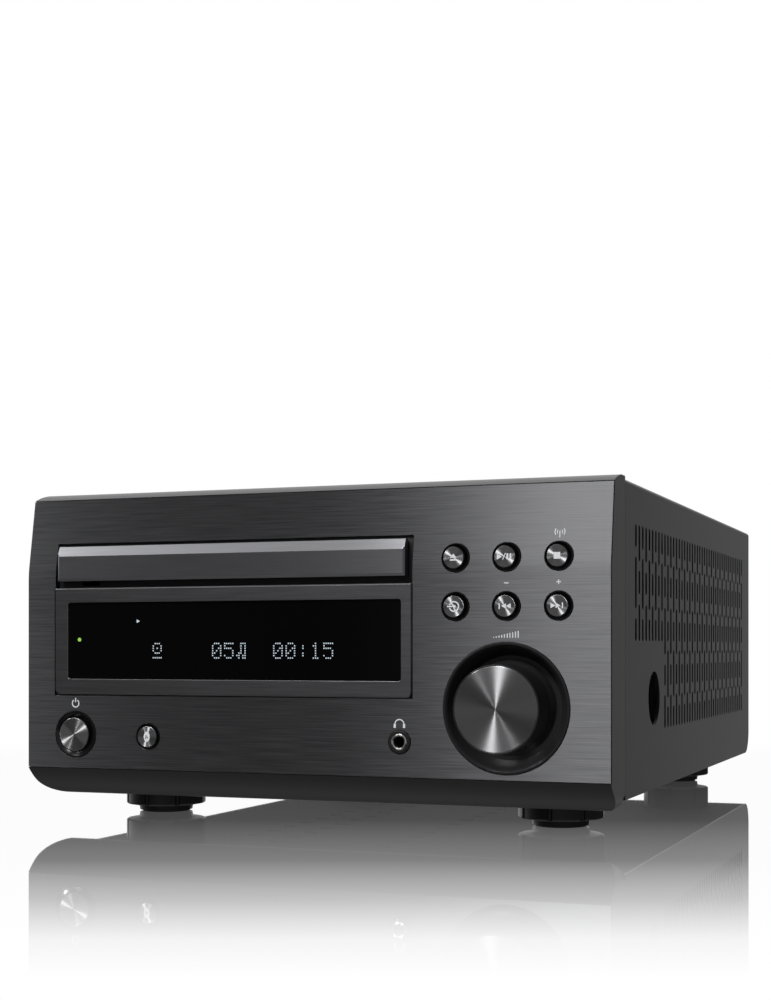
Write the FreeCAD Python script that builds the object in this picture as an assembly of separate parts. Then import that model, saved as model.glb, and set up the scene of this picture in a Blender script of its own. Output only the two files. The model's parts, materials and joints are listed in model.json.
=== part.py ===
import FreeCAD, Part
"""Compact disc receiver: a shelf amplifier, tuner and disc player in one steel cabinet.

Millimetres, +X to the right, +Y to the rear, +Z up.  The origin is under the middle of the
whole object, on the surface that it stands on.  "Depth" is the distance behind the flat
front plane, so depth 0 is that plane and a negative depth stands in front of it.
"""
import math
import os

from FreeCAD import Vector

# Overall size
WIDTH = 210.0
HEIGHT = 115.6
CABINET_DEPTH = 280.0
KNOB_PROUD = 11.0
TERMINAL_PROUD = 18.0
DEPTH = KNOB_PROUD + CABINET_DEPTH + TERMINAL_PROUD
FRONT = KNOB_PROUD - DEPTH / 2
SIDE = WIDTH / 2

# Steel cabinet
SHEET = 1.0
SEAM = 19.3
BASE_Z = 11.9
FLOOR_Z = BASE_Z + SHEET
COVER_TOP = 114.9
COVER_FOLD = 1.6
PAN_SIDE = SIDE - SHEET - 0.2
REAR_CORNER = 9.0
REAR_LIP = 7.0
PANEL_REAR = CABINET_DEPTH - SHEET
LIP_SCREWS = [(-100.5, 34.0), (100.5, 34.0), (-100.5, 100.0), (100.5, 100.0), (-45.0, 110.6), (45.0, 110.6)]

# Side vents: columns of upright slots in two alternating patterns
VENT_COLUMNS = 43
VENT_FIRST = 35.0
VENT_PITCH = 5.31
VENT_WIDTH = 2.4
VENT_EVEN = [(31.9, 39.7), (42.6, 59.8), (62.8, 70.4), (73.4, 90.6), (93.5, 101.3)]
VENT_ODD = [(31.9, 43.9), (47.0, 54.8), (58.2, 75.0), (78.4, 86.2), (89.3, 101.3)]
SHORT_COLUMNS = 9
SHORT_BOTTOM = 62.8
PORT_DEPTH = 64.0
PORT_Z = 43.2
PORT_RADIUS = 9.35

# Moulded front and its metal plate
WALL = 2.2
PLATE = 1.0
PLATE_BOTTOM = 18.6
PLATE_TOP = 112.45
PLATE_SIDE = SIDE - 0.1
PLATE_GAP = 0.2
LEAN = math.radians(9.2)
LEAN_Z = 86.8
LEAN_RADIUS = 30.0
LIP_BOTTOM = 8.3
LIP_CORNER = 6.0
ROOF_CORNER = 0.3

# Disc tray and display on the front
TRAY_OPENING = ((-93.8, 39.7), (81.6, 97.15))
TRAY_MOUTH = ((-91.9, 37.4), (84.5, 93.3))
REBATE = 2.35
OPENING_CORNER = 0.6
DOOR = ((-92.1, 37.6), (83.9, 95.9))
DOOR_FACE = -1.65
DOOR_BACK = 1.9
DOOR_FACET = 3.4
DOOR_CHAMFER = 0.9
DISPLAY_FRAME = ((-93.9, 39.5), (44.4, 81.5))
FRAME_PROUD = 0.45
FRAME_CHAMFER = 0.4
FRAME_CORNER = 2.0
WINDOW = ((-88.5, 35.9), (49.8, 76.4))
WINDOW_CORNER = 1.0
WINDOW_GAP = 0.1
LED = (-84.4, 63.5)

# Controls: (x, z) of each centre
BUTTONS = {
    "button_eject": (54.3, 89.3),
    "button_play": (71.3, 89.3),
    "button_stop": (88.3, 89.3),
    "button_source": (54.3, 73.75),
    "button_previous": (71.3, 73.75),
    "button_next": (88.3, 73.75),
    "button_pair": (-57.0, 30.2),
    "button_power": (-85.7, 30.5),
}
SMALL_BUTTON = {"cap": 3.6, "collar": 4.76, "proud": 1.9}
PAIR_BUTTON = {"cap": 3.8, "collar": 4.65, "proud": 0.8}
POWER_BUTTON = {"cap": 5.93, "collar": 8.2, "proud": 1.0}
BUTTON_GAP = 0.22
BUTTON_FLANGE = (4.8, 5.5)
BUTTON_STEM = 5.9
KNOB = (71.1, 41.5)
KNOB_RADIUS = 14.0
KNOB_RING = 21.0
DISH_RADIUS = 16.8
DISH_FLOOR = 6.1
SHAFT_RADIUS = 3.0
RUNNING_GAP = 0.05
PHONES = (35.25, 30.2)
PHONES_BORE = 1.75
PHONES_NOSE = 3.85
BOARD = (11.0, 12.6)
BOARD_SIDE = 100.5
BOARD_Z = (22.0, 80.0)
BOARD_TAB = (46.0, 97.0)
BOARD_BOSSES = [(x, z) for x in (-97.5, 97.5) for z in (26.0, 76.0)]

# Feet
FEET = [(-76.3, 47.5), (76.3, 47.5), (-76.3, 250.0), (76.3, 250.0)]
FOOT_RADIUS = 14.6
FOOT_SOLE = 9.7
FOOT_STEP = 2.8
FOOT_NOTCHES = 8

# Disc loader
LOADER_X = (DOOR[0][0] + DOOR[0][1]) / 2
DISC_DEPTH = 75.0
DISC_RADIUS = 60.6
SMALL_DISC_RADIUS = 40.6
DISC_FLOOR = 89.0
SMALL_DISC_FLOOR = 88.0
TRAY_HALF = 63.95
TRAY_END = 174.0
TRAY_TRAVEL = 133.0
TRAY_Z = (86.0, 92.0)
TRAY_RAIL_Z = 85.0
TRAY_SLOT = 21.0
LOADER_D = (14.0, 205.0)
LOADER_Z = (68.0, 99.0)
LOADER_FLOOR = 70.0
LOADER_WALL = 2.0
LOADER_HALF = 69.5
GUIDE_GAP = 0.35
MODULE = 1.0
TOOTH_THICKNESS = 1.32
ADDENDUM = 0.9 * MODULE
DEDENDUM = 1.25 * MODULE
PINION_TEETH = 16
PINION_RADIUS = MODULE * PINION_TEETH / 2
PINION_DEPTH = 30.0
RACK_X = -79.0
PINION_X = RACK_X + PINION_RADIUS
MOTOR_X = -30.0
BELT_Z = (73.2, 74.3)
GROOVE_Z = (72.7, 74.8)
BELT_INNER = {"gear": 12.75, "motor": 3.75}
BELT_THICK = 1.0
PULLEY_Z = (72.0, 75.5)
RACK_Z = 82.9
RACK_BACK = 3.5
RACK_GAP = 0.6
PINION_Z = (82.3, 85.5)

# Optical traverse, hinged at its rear
TRAVERSE_X = (LOADER_X - 41.5, LOADER_X + 41.5)
TRAVERSE_D = (52.0, 192.0)
TRAVERSE_Z = (76.0, 78.0)
PIVOT_D = 186.0
PIVOT_Z = 77.0
HUB_Z = (86.0, 90.5)
ROD_OFFSET = 22.0
ROD_Z = 80.6
ROD_D = (90.0, 160.0)
SCREW_X = LOADER_X - 33.0
SLED_D = (93.0, 121.0)
SCREW_LEAD = 3.0

# Power and boards
CORE = ((60.0, 94.0), (82.0, 136.0), (FLOOR_Z, 62.0))
COIL_BULGE = 7.5
CORE_LIMB = 9.0
CORE_CENTRE = 16.0
CORE_YOKE = 11.0
SINK_X = (50.0, 98.0)
SINK_D = (164.0, 244.0)
SINK_TOP = 96.0
SINK_FINS = 11
MAIN_BOARD = ((-84.0, 30.0), (60.0, 268.0), (20.0, 21.6))

# Rear sockets: (x, z)
POSTS = {"terminal_1": (10.0, 40.0), "terminal_2": (26.0, 40.0),
         "terminal_3": (44.0, 40.0), "terminal_4": (60.0, 40.0)}
LINE_SOCKETS = [(-62.0, 38.0), (-44.0, 38.0), (-62.0, 56.0), (-44.0, 56.0)]
OPTICAL = [(-24.0, 36.0), (-10.0, 36.0)]
AERIAL = (-86.0, 88.0)
INLET = (82.0, 34.0)
POST_RADIUS = 2.6
POST_BORE = 2.0
POST_END = CABINET_DEPTH + 10
SCREW_RADIUS = 1.5


def at(x, d, z):
    """A point from its x, its depth behind the front plane and its height."""
    return Vector(x, FRONT + d, z)


def block(x, d, z):
    """A box between pairs of limits."""
    return Part.makeBox(x[1] - x[0], d[1] - d[0], z[1] - z[0], at(x[0], d[0], z[0]))


def rod_x(d, z, radius, x):
    return Part.makeCylinder(radius, x[1] - x[0], at(x[0], d, z), Vector(1, 0, 0))


def rod_y(x, z, radius, d):
    return Part.makeCylinder(radius, d[1] - d[0], at(x, d[0], z), Vector(0, 1, 0))


def rod_z(x, d, radius, z):
    return Part.makeCylinder(radius, z[1] - z[0], at(x, d, z[0]))


def fuse(shapes):
    return shapes[0].multiFuse(shapes[1:]).removeSplitter()


def prism(edges, direction):
    """The solid that a closed outline sweeps along a straight direction."""
    return Part.Face(Part.Wire(edges)).extrude(direction)


def outline_prism(points, direction):
    return Part.Face(Part.makePolygon(points + points[:1])).extrude(direction)


def side_prism(points, x):
    """An outline of (depth, z) points, carried across from x[0] to x[1]."""
    return outline_prism([at(x[0], d, z) for d, z in points], Vector(x[1] - x[0], 0, 0))


def turned_y(points, x, z):
    """An outline of (radius, depth) points, turned about a front-to-back axis."""
    corners = [at(x + r, d, z) for r, d in points]
    face = Part.Face(Part.makePolygon(corners + corners[:1]))
    return face.revolve(at(x, 0, z), Vector(0, 1, 0), 360)


def turned_z(points, x, d):
    """An outline of (radius, z) points, turned about an upright axis."""
    corners = [at(x + r, d, z) for r, z in points]
    face = Part.Face(Part.makePolygon(corners + corners[:1]))
    return face.revolve(at(x, d, 0), Vector(0, 0, 1), 360)


def grown(limits, by):
    return (limits[0] - by, limits[1] + by)


# ---- front ----------------------------------------------------------------------------

def lean_points(inset, z_top):
    """Start, middle and end of the bend, and the end of the leaning line, at an inset."""
    reach = LEAN_RADIUS * math.tan(LEAN / 2)
    centre_z = LEAN_Z - reach
    radius = LEAN_RADIUS - inset
    bend = [(LEAN_RADIUS - radius * math.cos(turn), centre_z + radius * math.sin(turn))
            for turn in (0, LEAN / 2, LEAN)]
    d, z = bend[2]
    return bend + [(d + (z_top - z) * math.tan(LEAN), z_top)]


def front_edges(inset, z_bottom, z_top, x):
    """Edges of the front line from bottom to top: upright, bend, lean."""
    start, middle, end, top = [at(x, d, z) for d, z in lean_points(inset, z_top)]
    return [Part.LineSegment(at(x, inset, z_bottom), start).toShape(),
            Part.Arc(start, middle, end).toShape(),
            Part.LineSegment(end, top).toShape()]


def front_layer(inner, outer, z_bottom, z_top, half):
    """A sheet that follows the front between two insets."""
    front = front_edges(outer, z_bottom, z_top, -half)
    back = front_edges(inner, z_bottom, z_top, -half)
    low = Part.LineSegment(at(-half, outer, z_bottom), at(-half, inner, z_bottom)).toShape()
    high = Part.LineSegment(front[-1].Vertexes[-1].Point, back[-1].Vertexes[-1].Point).toShape()
    return prism(Part.__sortEdges__(front + back + [low, high]), Vector(2 * half, 0, 0))


def round_openings(spread):
    """The round holes that pass through the plate and the moulding."""
    through = (-4.0, DISH_FLOOR + 4)
    holes = [(x, z, button_size(name)["collar"]) for name, (x, z) in BUTTONS.items()]
    holes += [(*KNOB, KNOB_RING), (*PHONES, PHONES_NOSE + 0.1)]
    return [rod_y(x, z, radius + spread, through) for x, z, radius in holes]


def tray_recess(rear):
    """The opening that the tray's door closes, its upper corners rounded, back to a depth."""
    recess = block(TRAY_OPENING[0], (-4, rear), TRAY_OPENING[1])
    upper = [e for e in deep_edges(recess) if e.Vertexes[0].Z > DOOR[1][0]]
    return recess.makeFillet(OPENING_CORNER, upper)


def bezel_block():
    """The outside of the moulding: front line, roof arc and swept-back lower lip."""
    x = -SIDE
    front = front_edges(0, PLATE_BOTTOM, PLATE_TOP, x)
    top_d = lean_points(0, PLATE_TOP)[3][0]
    shoulder = at(x, top_d + 0.35, PLATE_TOP + 0.35)
    peak = at(x, SEAM, HEIGHT)
    roof_middle = at(x, (top_d + SEAM) / 2, HEIGHT - 0.5)
    heel = at(x, SEAM, LIP_BOTTOM)
    toe = at(x, 0, PLATE_BOTTOM)
    edges = front + [
        Part.LineSegment(front[-1].Vertexes[-1].Point, shoulder).toShape(),
        Part.Arc(shoulder, roof_middle, peak).toShape(),
        Part.LineSegment(peak, heel).toShape(),
        Part.Arc(heel, at(x, 5.4, 13.5), toe).toShape(),
    ]
    return prism(edges, Vector(WIDTH, 0, 0))


def deep_edges(shape):
    """The edges that run from front to rear."""
    return [e for e in shape.Edges if abs(e.Vertexes[0].Y - e.Vertexes[-1].Y) > 1]


def front_silhouette():
    """The front view: square-topped, with two large lower corners."""
    plain = block((-SIDE, SIDE), (-4, SEAM + 4), (LIP_BOTTOM, HEIGHT + 0.001))
    rounded = plain.makeFillet(LIP_CORNER, [e for e in deep_edges(plain) if e.Vertexes[0].Z < HEIGHT / 2])
    upper = [e for e in deep_edges(rounded) if e.Vertexes[0].Z > HEIGHT - 1]
    rounded = rounded.makeFillet(ROOF_CORNER, upper)
    return rounded


def front_bezel():
    """Moulded front: cheeks, roof, lower lip and the wall behind the metal plate."""
    shell = bezel_block().common(front_silhouette())
    lean = lean_points(PLATE + WALL, HEIGHT - 4)
    cavity = [(PLATE + WALL, PLATE_BOTTOM)] + lean + [
        (SEAM + 1, HEIGHT - 3.2), (SEAM + 1, LIP_BOTTOM + WALL + 0.2), (12.3, 13.2), (8.0, 15.2)]
    tools = [side_prism(cavity, (-SIDE + WALL, SIDE - WALL))]
    pocket_top = PLATE_TOP + PLATE_GAP
    tools.append(front_layer(PLATE, -3, PLATE_BOTTOM, pocket_top, PLATE_SIDE + PLATE_GAP))
    tools.append(block(grown(WINDOW[0], WINDOW_GAP), (-1, 8), grown(WINDOW[1], WINDOW_GAP)))
    rack_x = (RACK_X - DEDENDUM - RACK_BACK - RACK_GAP, RACK_X + ADDENDUM + RACK_GAP)
    rack_notch = block(rack_x, (0, 8), (RACK_Z - RACK_GAP, TRAY_MOUTH[1][0] + 0.1))
    tools += [tray_recess(REBATE), block(TRAY_MOUTH[0], (0, 8), TRAY_MOUTH[1]), rack_notch]
    tools += round_openings(0)
    shell = shell.cut(tools)
    bosses = [rod_y(x, z, 2.6, (PLATE + WALL - 0.5, BOARD[0])) for x, z in BOARD_BOSSES]
    return fuse([shell] + bosses)


def front_plate():
    """Brushed metal plate over the moulding, with every front opening in it."""
    plate = front_layer(PLATE, 0, PLATE_BOTTOM + PLATE_GAP, PLATE_TOP, PLATE_SIDE)
    hole_z = (DISPLAY_FRAME[1][0] - 0.3, TRAY_OPENING[1][0] + 0.1)
    frame_hole = block(grown(DISPLAY_FRAME[0], 0.3), (-2, 3), hole_z)
    return plate.cut(round_openings(0.05) + [tray_recess(8), frame_hole])


def window_block(gap, d, corner):
    """A round-cornered block with the outline of the display window, less a gap."""
    pane = block(grown(WINDOW[0], -gap), d, grown(WINDOW[1], -gap))
    return pane.makeFillet(corner, deep_edges(pane))


def display_frame():
    """Satin frame around the display: lower corners rounded, outer edge bevelled."""
    outer = block(DISPLAY_FRAME[0], (-FRAME_PROUD, PLATE), DISPLAY_FRAME[1])
    low = [e for e in deep_edges(outer) if e.Vertexes[0].Z < WINDOW[1][0]]
    outer = outer.makeFillet(FRAME_CORNER, low)
    rim = [e for e in outer.Edges if max(v.Y for v in e.Vertexes) < FRONT - FRAME_PROUD + 0.01]
    return outer.makeChamfer(FRAME_CHAMFER, rim).cut(window_block(0, (-2, 3), WINDOW_CORNER))


def display_window():
    pane = window_block(WINDOW_GAP, (0.3, 2.6), WINDOW_CORNER - WINDOW_GAP)
    return pane.cut(rod_y(*LED, 0.8, (-1, 4)))


def display_tube():
    """Vacuum fluorescent tube with its seal tip and its row of lead wires."""
    tube = block((-80, 28), (4.0, 9.4), (54, 73.5))
    tip = rod_x(6.7, 64, 1.6, (28, 31))
    leads = [rod_y(x, 54.8, 0.3, (9.4, BOARD[0])) for x in range(-76, 26, 6)]
    return fuse([tube, tip] + leads)


def standby_led():
    lens = rod_y(*LED, 0.65, (0.35, 6.5))
    base = rod_y(*LED, 1.5, (6.5, BOARD[0]))
    return fuse([lens, base])


def button_size(name):
    if name == "button_power":
        return POWER_BUTTON
    return PAIR_BUTTON if name == "button_pair" else SMALL_BUTTON


def button(name):
    """Cap with a softened rim, a flange behind the moulding and a stem to the switch."""
    x, z = BUTTONS[name]
    size = button_size(name)
    r = size["cap"]
    face = -size["proud"]
    flange = size["collar"] + 1.0
    cap = [(0, face), (r - 0.3, face), (r, face + 0.3), (r, BUTTON_FLANGE[0])]
    behind = [(flange, BUTTON_FLANGE[0]), (flange, BUTTON_FLANGE[1]), (1.5, BUTTON_FLANGE[1]),
              (1.5, BUTTON_STEM), (0, BUTTON_STEM)]
    return turned_y(cap + behind, x, z)


def button_collars():
    """Gloss rings that line the button holes."""
    rings = []
    for name, (x, z) in BUTTONS.items():
        size = button_size(name)
        inner = size["cap"] + BUTTON_GAP
        outer = size["collar"] - 0.04
        profile = [(inner, 0.6), (outer - 0.35, -0.25), (outer, -0.1), (outer, 3.2), (inner, 3.2)]
        rings.append(turned_y(profile, x, z))
    return Part.makeCompound(rings)


def tact_switches():
    switches = []
    for x, z in BUTTONS.values():
        body = block((x - 3, x + 3), (7.5, BOARD[0]), (z - 3, z + 3))
        switches.append(fuse([body, rod_y(x, z, 1.7, (6.6, 7.5))]))
    return Part.makeCompound(switches)


def front_board():
    """Circuit board behind the front, with a tab up to the upper row of buttons."""
    lower = block((-BOARD_SIDE, BOARD_SIDE), BOARD, BOARD_Z)
    tab = block((BOARD_TAB[0], BOARD_SIDE), BOARD, (BOARD_Z[1], BOARD_TAB[1]))
    socket_hole = block((PHONES[0] - 6, PHONES[0] + 6), (10, 14), (PHONES[1] - 6, PHONES[1] + 6))
    ports = [rod_y(x, z, SCREW_RADIUS, (10, 14)) for x, z in BOARD_BOSSES]
    return fuse([lower, tab]).cut([socket_hole] + ports)


def phones_socket():
    """3.5 mm jack socket: round nose in the plate and a body that passes the board."""
    r = PHONES_NOSE
    nose = turned_y([(0, -0.45), (r - 0.3, -0.45), (r, -0.15), (r, 3.5), (0, 3.5)], *PHONES)
    body = block((PHONES[0] - 5.5, PHONES[0] + 5.5), (3.5, 17.5), (PHONES[1] - 5.5, PHONES[1] + 5.5))
    return fuse([nose, body]).cut(rod_y(*PHONES, PHONES_BORE, (-2, 14.5)))


def knob_ring():
    """Dished ring that the volume knob sits in."""
    outer = KNOB_RING - 0.05
    rim = [(outer, 3.0), (outer, -0.2), (outer - 0.3, -0.4), (outer - 0.8, -0.4), (outer - 1.4, 0.2)]
    dish = [(DISH_RADIUS, DISH_FLOOR), (4.3, DISH_FLOOR), (4.3, DISH_FLOOR + 1.2),
            (DISH_RADIUS + 0.8, DISH_FLOOR + 1.2)]
    return turned_y(rim + dish, *KNOB)


def volume_knob():
    """Gloss knob, slightly waisted, with a seat for the metal disc in its face."""
    r = KNOB_RADIUS
    seat = KNOB_PROUD - 0.7
    side = [(SHAFT_RADIUS, -6.5), (SHAFT_RADIUS, DISH_FLOOR - 0.8), (r + 1.2, DISH_FLOOR - 0.8),
            (r + 1.2, DISH_FLOOR - 2.2), (r, DISH_FLOOR - 4.5), (r, 0.35 - KNOB_PROUD)]
    face = [(r - 0.2, 0.15 - KNOB_PROUD), (r - 0.45, 0.15 - KNOB_PROUD), (r - 0.45, -seat), (0, -seat),
            (0, -6.5)]
    return turned_y(side + face, *KNOB)


def knob_cap():
    r = KNOB_RADIUS - 0.5
    rear = 0.7 - KNOB_PROUD
    return turned_y([(0, -KNOB_PROUD), (r - 0.25, -KNOB_PROUD), (r, 0.25 - KNOB_PROUD), (r, rear), (0, rear)],
                    *KNOB)


def encoder_shaft():
    return rod_y(*KNOB, SHAFT_RADIUS, (-6.4, 9.0))


def encoder():
    """Rotary encoder on the front board, with the bush that carries its shaft."""
    body = block(grown((KNOB[0], KNOB[0]), 6.2), (7.6, BOARD[0]), grown((KNOB[1], KNOB[1]), 6.2))
    bush = rod_y(*KNOB, 4.1, (DISH_FLOOR - 0.3, 7.6))
    return fuse([body, bush]).cut(rod_y(*KNOB, SHAFT_RADIUS + RUNNING_GAP, (5, 9.3)))


# ---- steel cabinet --------------------------------------------------------------------

def vent_slot(d, z0, z1):
    """An upright round-ended slot through both sides."""
    r = VENT_WIDTH / 2
    x = -SIDE - 1
    low, high = z0 + r, z1 - r
    edges = [Part.LineSegment(at(x, d - r, low), at(x, d - r, high)).toShape(),
             Part.Arc(at(x, d - r, high), at(x, d, z1), at(x, d + r, high)).toShape(),
             Part.LineSegment(at(x, d + r, high), at(x, d + r, low)).toShape(),
             Part.Arc(at(x, d + r, low), at(x, d, z0), at(x, d - r, low)).toShape()]
    return prism(edges, Vector(WIDTH + 2, 0, 0))


def vent_slots():
    slots = []
    for column in range(VENT_COLUMNS):
        d = VENT_FIRST + column * VENT_PITCH
        for z0, z1 in (VENT_ODD if column % 2 else VENT_EVEN):
            if column >= SHORT_COLUMNS:
                slots.append(vent_slot(d, z0, z1))
            elif z1 > SHORT_BOTTOM + 1:
                slots.append(vent_slot(d, max(z0, SHORT_BOTTOM), z1))
    return slots


def corner_cutter(radius, x):
    """What is outside the round lower rear corner of a side."""
    d, z = CABINET_DEPTH - radius, BASE_Z + radius
    square = block(x, (d, CABINET_DEPTH + 1), (BASE_Z - 1, z))
    return square.cut(rod_x(d, z, radius, x))


def top_cover():
    """Folded steel cover: top, two vented sides and a lip turned in around the rear."""
    start = SEAM + 0.15
    outer = block((-SIDE, SIDE), (start, CABINET_DEPTH), (BASE_Z, COVER_TOP))
    outer = outer.makeFillet(COVER_FOLD, [e for e in deep_edges(outer) if e.Vertexes[0].Z > COVER_TOP - 1])
    inner = block(grown((-SIDE, SIDE), -SHEET), (start - 1, PANEL_REAR), (BASE_Z - 1, COVER_TOP - SHEET))
    folds = [e for e in deep_edges(inner) if e.Vertexes[0].Z > COVER_TOP - 2]
    inner = inner.makeFillet(COVER_FOLD - SHEET, folds)
    rear_window = block(grown((-SIDE, SIDE), -REAR_LIP - SHEET), (PANEL_REAR - 1, CABINET_DEPTH + 1),
                        (BASE_Z - 1, COVER_TOP - REAR_LIP))
    inside = grown((-SIDE, SIDE), -SHEET)
    lip_foot = block(inside, (PANEL_REAR - 1, CABINET_DEPTH + 1), (BASE_Z - 1, BASE_Z + 12))
    tools = [inner, rear_window, lip_foot, corner_cutter(REAR_CORNER + 1, (-SIDE - 1, SIDE + 1))]
    tools += vent_slots()
    tools.append(rod_x(PORT_DEPTH, PORT_Z, PORT_RADIUS, (-SIDE - 1, SIDE + 1)))
    tools += [rod_y(x, z, SCREW_RADIUS + 0.1, (PANEL_REAR - 1, CABINET_DEPTH + 1)) for x, z in LIP_SCREWS]
    return outer.cut(tools)


def chassis_pan():
    """Floor pan with turned-up sides and front and a rounded rear bend."""
    x = (-PAN_SIDE, PAN_SIDE)
    bend_d, bend_z = PANEL_REAR - REAR_CORNER, BASE_Z + REAR_CORNER
    outer = block(x, (SEAM + 1, bend_d), (BASE_Z, BASE_Z + 12))
    outer = outer.cut(block(grown(x, -SHEET), (SEAM + 1 + SHEET, bend_d + 1), (FLOOR_Z, BASE_Z + 13)))
    hollow = rod_x(bend_d, bend_z, REAR_CORNER - SHEET, grown(x, 1))
    quarter = rod_x(bend_d, bend_z, REAR_CORNER, x).cut(hollow)
    quarter = quarter.common(block(x, (bend_d, PANEL_REAR), (BASE_Z, bend_z)))
    posts = [rod_z(px, pd, 3.0, (FLOOR_Z - 0.2, MAIN_BOARD[2][0])) for px in (-79, 25) for pd in (66, 262)]
    tools = [rod_z(fx, fd, SCREW_RADIUS + 0.1, (BASE_Z - 1, FLOOR_Z + 1)) for fx, fd in FEET]
    through = (BASE_Z - 1, FLOOR_Z + 1)
    tools += [block((off - 3, off + 3), (60 + 16 * n, 62.4 + 16 * n), through)
              for n in range(12) for off in (-54, -38, 6)]
    return fuse([outer, quarter] + posts).cut(tools)


def rear_panel():
    """Flat rear panel with a hole for every socket and for the screws."""
    panel = block(grown((-SIDE, SIDE), -SHEET - 0.2), (PANEL_REAR - SHEET, PANEL_REAR),
                  (BASE_Z + REAR_CORNER, COVER_TOP - SHEET - 0.2))
    span = (PANEL_REAR - 2, PANEL_REAR + 1)
    tools = [rod_y(x, z, SCREW_RADIUS + 0.1, span) for x, z in LIP_SCREWS]
    tools += [rod_y(x, z, 4.4, span) for x, z in LINE_SOCKETS]
    tools += [block((x - 5.1, x + 5.1), span, (z - 5.6, z + 5.6)) for x, z in OPTICAL]
    tools.append(rod_y(*AERIAL, 5.0, span))
    tools.append(block((INLET[0] - 11.1, INLET[0] + 11.1), span, (INLET[1] - 7.6, INLET[1] + 7.6)))
    tools.append(block((1.9, 68.1), span, (30.9, 49.1)))
    return panel.cut(tools)


def feet():
    """Four round feet: a notched ring, a short cone and a sole with a recess for its pad."""
    made = []
    for x, d in FEET:
        sole = [(3.4, 2.0), (8.9, 2.0), (8.9, 0.5), (FOOT_SOLE, 0.5), (FOOT_SOLE + 0.3, FOOT_STEP - 0.7)]
        ring = [(FOOT_RADIUS - 0.5, FOOT_STEP), (FOOT_RADIUS, FOOT_STEP + 0.4), (FOOT_RADIUS, BASE_Z)]
        body = turned_z(sole + ring + [(1.7, BASE_Z), (1.7, 7.0), (3.4, 7.0)], x, d)
        notches = []
        for n in range(FOOT_NOTCHES):
            angle = 2 * math.pi * n / FOOT_NOTCHES
            nx, nd = x + FOOT_RADIUS * math.cos(angle), d + FOOT_RADIUS * math.sin(angle)
            notches.append(rod_z(nx, nd, 0.9, (FOOT_STEP - 2, BASE_Z - 1.2)))
        made.append(body.cut(notches))
    return Part.makeCompound(made)


def foot_pads():
    rings = [turned_z([(3.8, 0), (8.7, 0), (8.7, 2.0), (3.8, 2.0)], x, d) for x, d in FEET]
    return Part.makeCompound(rings)


def case_screws():
    """Ten alike pan-head screws: one up through each foot and six in the rear lip."""
    head, seat = 2.9, 1.9
    foot_seat, length = 7.0, 8.0

    def screw(start, way):
        return [(0, start - way * seat), (head, start - way * seat), (head, start), (SCREW_RADIUS, start),
                (SCREW_RADIUS, start + way * length), (0, start + way * length)]

    up = [turned_z(screw(foot_seat, 1), x, d) for x, d in FEET]
    back = [turned_y(screw(CABINET_DEPTH, -1), x, z) for x, z in LIP_SCREWS]
    return Part.makeCompound(up + back)


# ---- disc loader ----------------------------------------------------------------------

def gear_outline(teeth, thickness, x, d, z):
    """Closed outline of an involute spur gear, one tooth centred on +X."""
    pressure = math.radians(20)
    pitch_r = MODULE * teeth / 2
    base_r = pitch_r * math.cos(pressure)
    root_r, tip_r = pitch_r - DEDENDUM, pitch_r + ADDENDUM
    half_at_pitch = thickness / (2 * pitch_r)
    involute = math.tan(pressure) - pressure

    def half_angle(r):
        a = math.acos(min(1.0, base_r / max(r, base_r)))
        return half_at_pitch + involute - (math.tan(a) - a)

    radii = [root_r + (tip_r - root_r) * n / 5 for n in range(6)]
    points = []
    for tooth in range(teeth):
        middle = 2 * math.pi * tooth / teeth
        flank = [(r, middle - half_angle(r)) for r in radii]
        flank += [(r, middle + half_angle(r)) for r in reversed(radii)]
        points += [at(x + r * math.cos(a), d + r * math.sin(a), z) for r, a in flank]
    return points


def pulley_gear():
    """Moulded pulley and pinion in one: the belt turns it and it drives the tray's rack."""
    groove = BELT_INNER["gear"] - 0.35
    rim = groove + 1.7
    bore, hub, hub_top = 2.1, 5.0, PINION_Z[0] + 0.1
    pulley = turned_z([(bore, PULLEY_Z[0]), (rim, PULLEY_Z[0]), (rim, GROOVE_Z[0]), (groove, GROOVE_Z[0]),
                       (groove, GROOVE_Z[1]), (rim, GROOVE_Z[1]), (rim, PULLEY_Z[1]), (hub, PULLEY_Z[1]),
                       (hub, hub_top), (bore, hub_top)], PINION_X, PINION_DEPTH)
    outline = gear_outline(PINION_TEETH, TOOTH_THICKNESS, PINION_X, PINION_DEPTH, PINION_Z[0])
    teeth = outline_prism(outline, Vector(0, 0, PINION_Z[1] - PINION_Z[0]))
    return fuse([pulley, teeth.cut(rod_z(PINION_X, PINION_DEPTH, bore, grown(PINION_Z, 2)))])


def motor_pulley():
    groove = BELT_INNER["motor"] - 0.35
    bore, rim = 0.85, 5.0
    return turned_z([(bore, PULLEY_Z[0]), (rim, PULLEY_Z[0]), (rim, GROOVE_Z[0]), (groove, GROOVE_Z[0]),
                     (groove, GROOVE_Z[1]), (rim, GROOVE_Z[1]), (rim, PULLEY_Z[1]), (bore, PULLEY_Z[1])],
                    MOTOR_X, PINION_DEPTH)


def loading_motor():
    can = turned_z([(0, 50), (9.6, 50), (10, 50.4), (10, 67.9), (3.0, 67.9), (3.0, 69.2), (0, 69.2)],
                   MOTOR_X, PINION_DEPTH)
    return fuse([can, rod_z(MOTOR_X, PINION_DEPTH, 0.8, (69, 76))])


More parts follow.
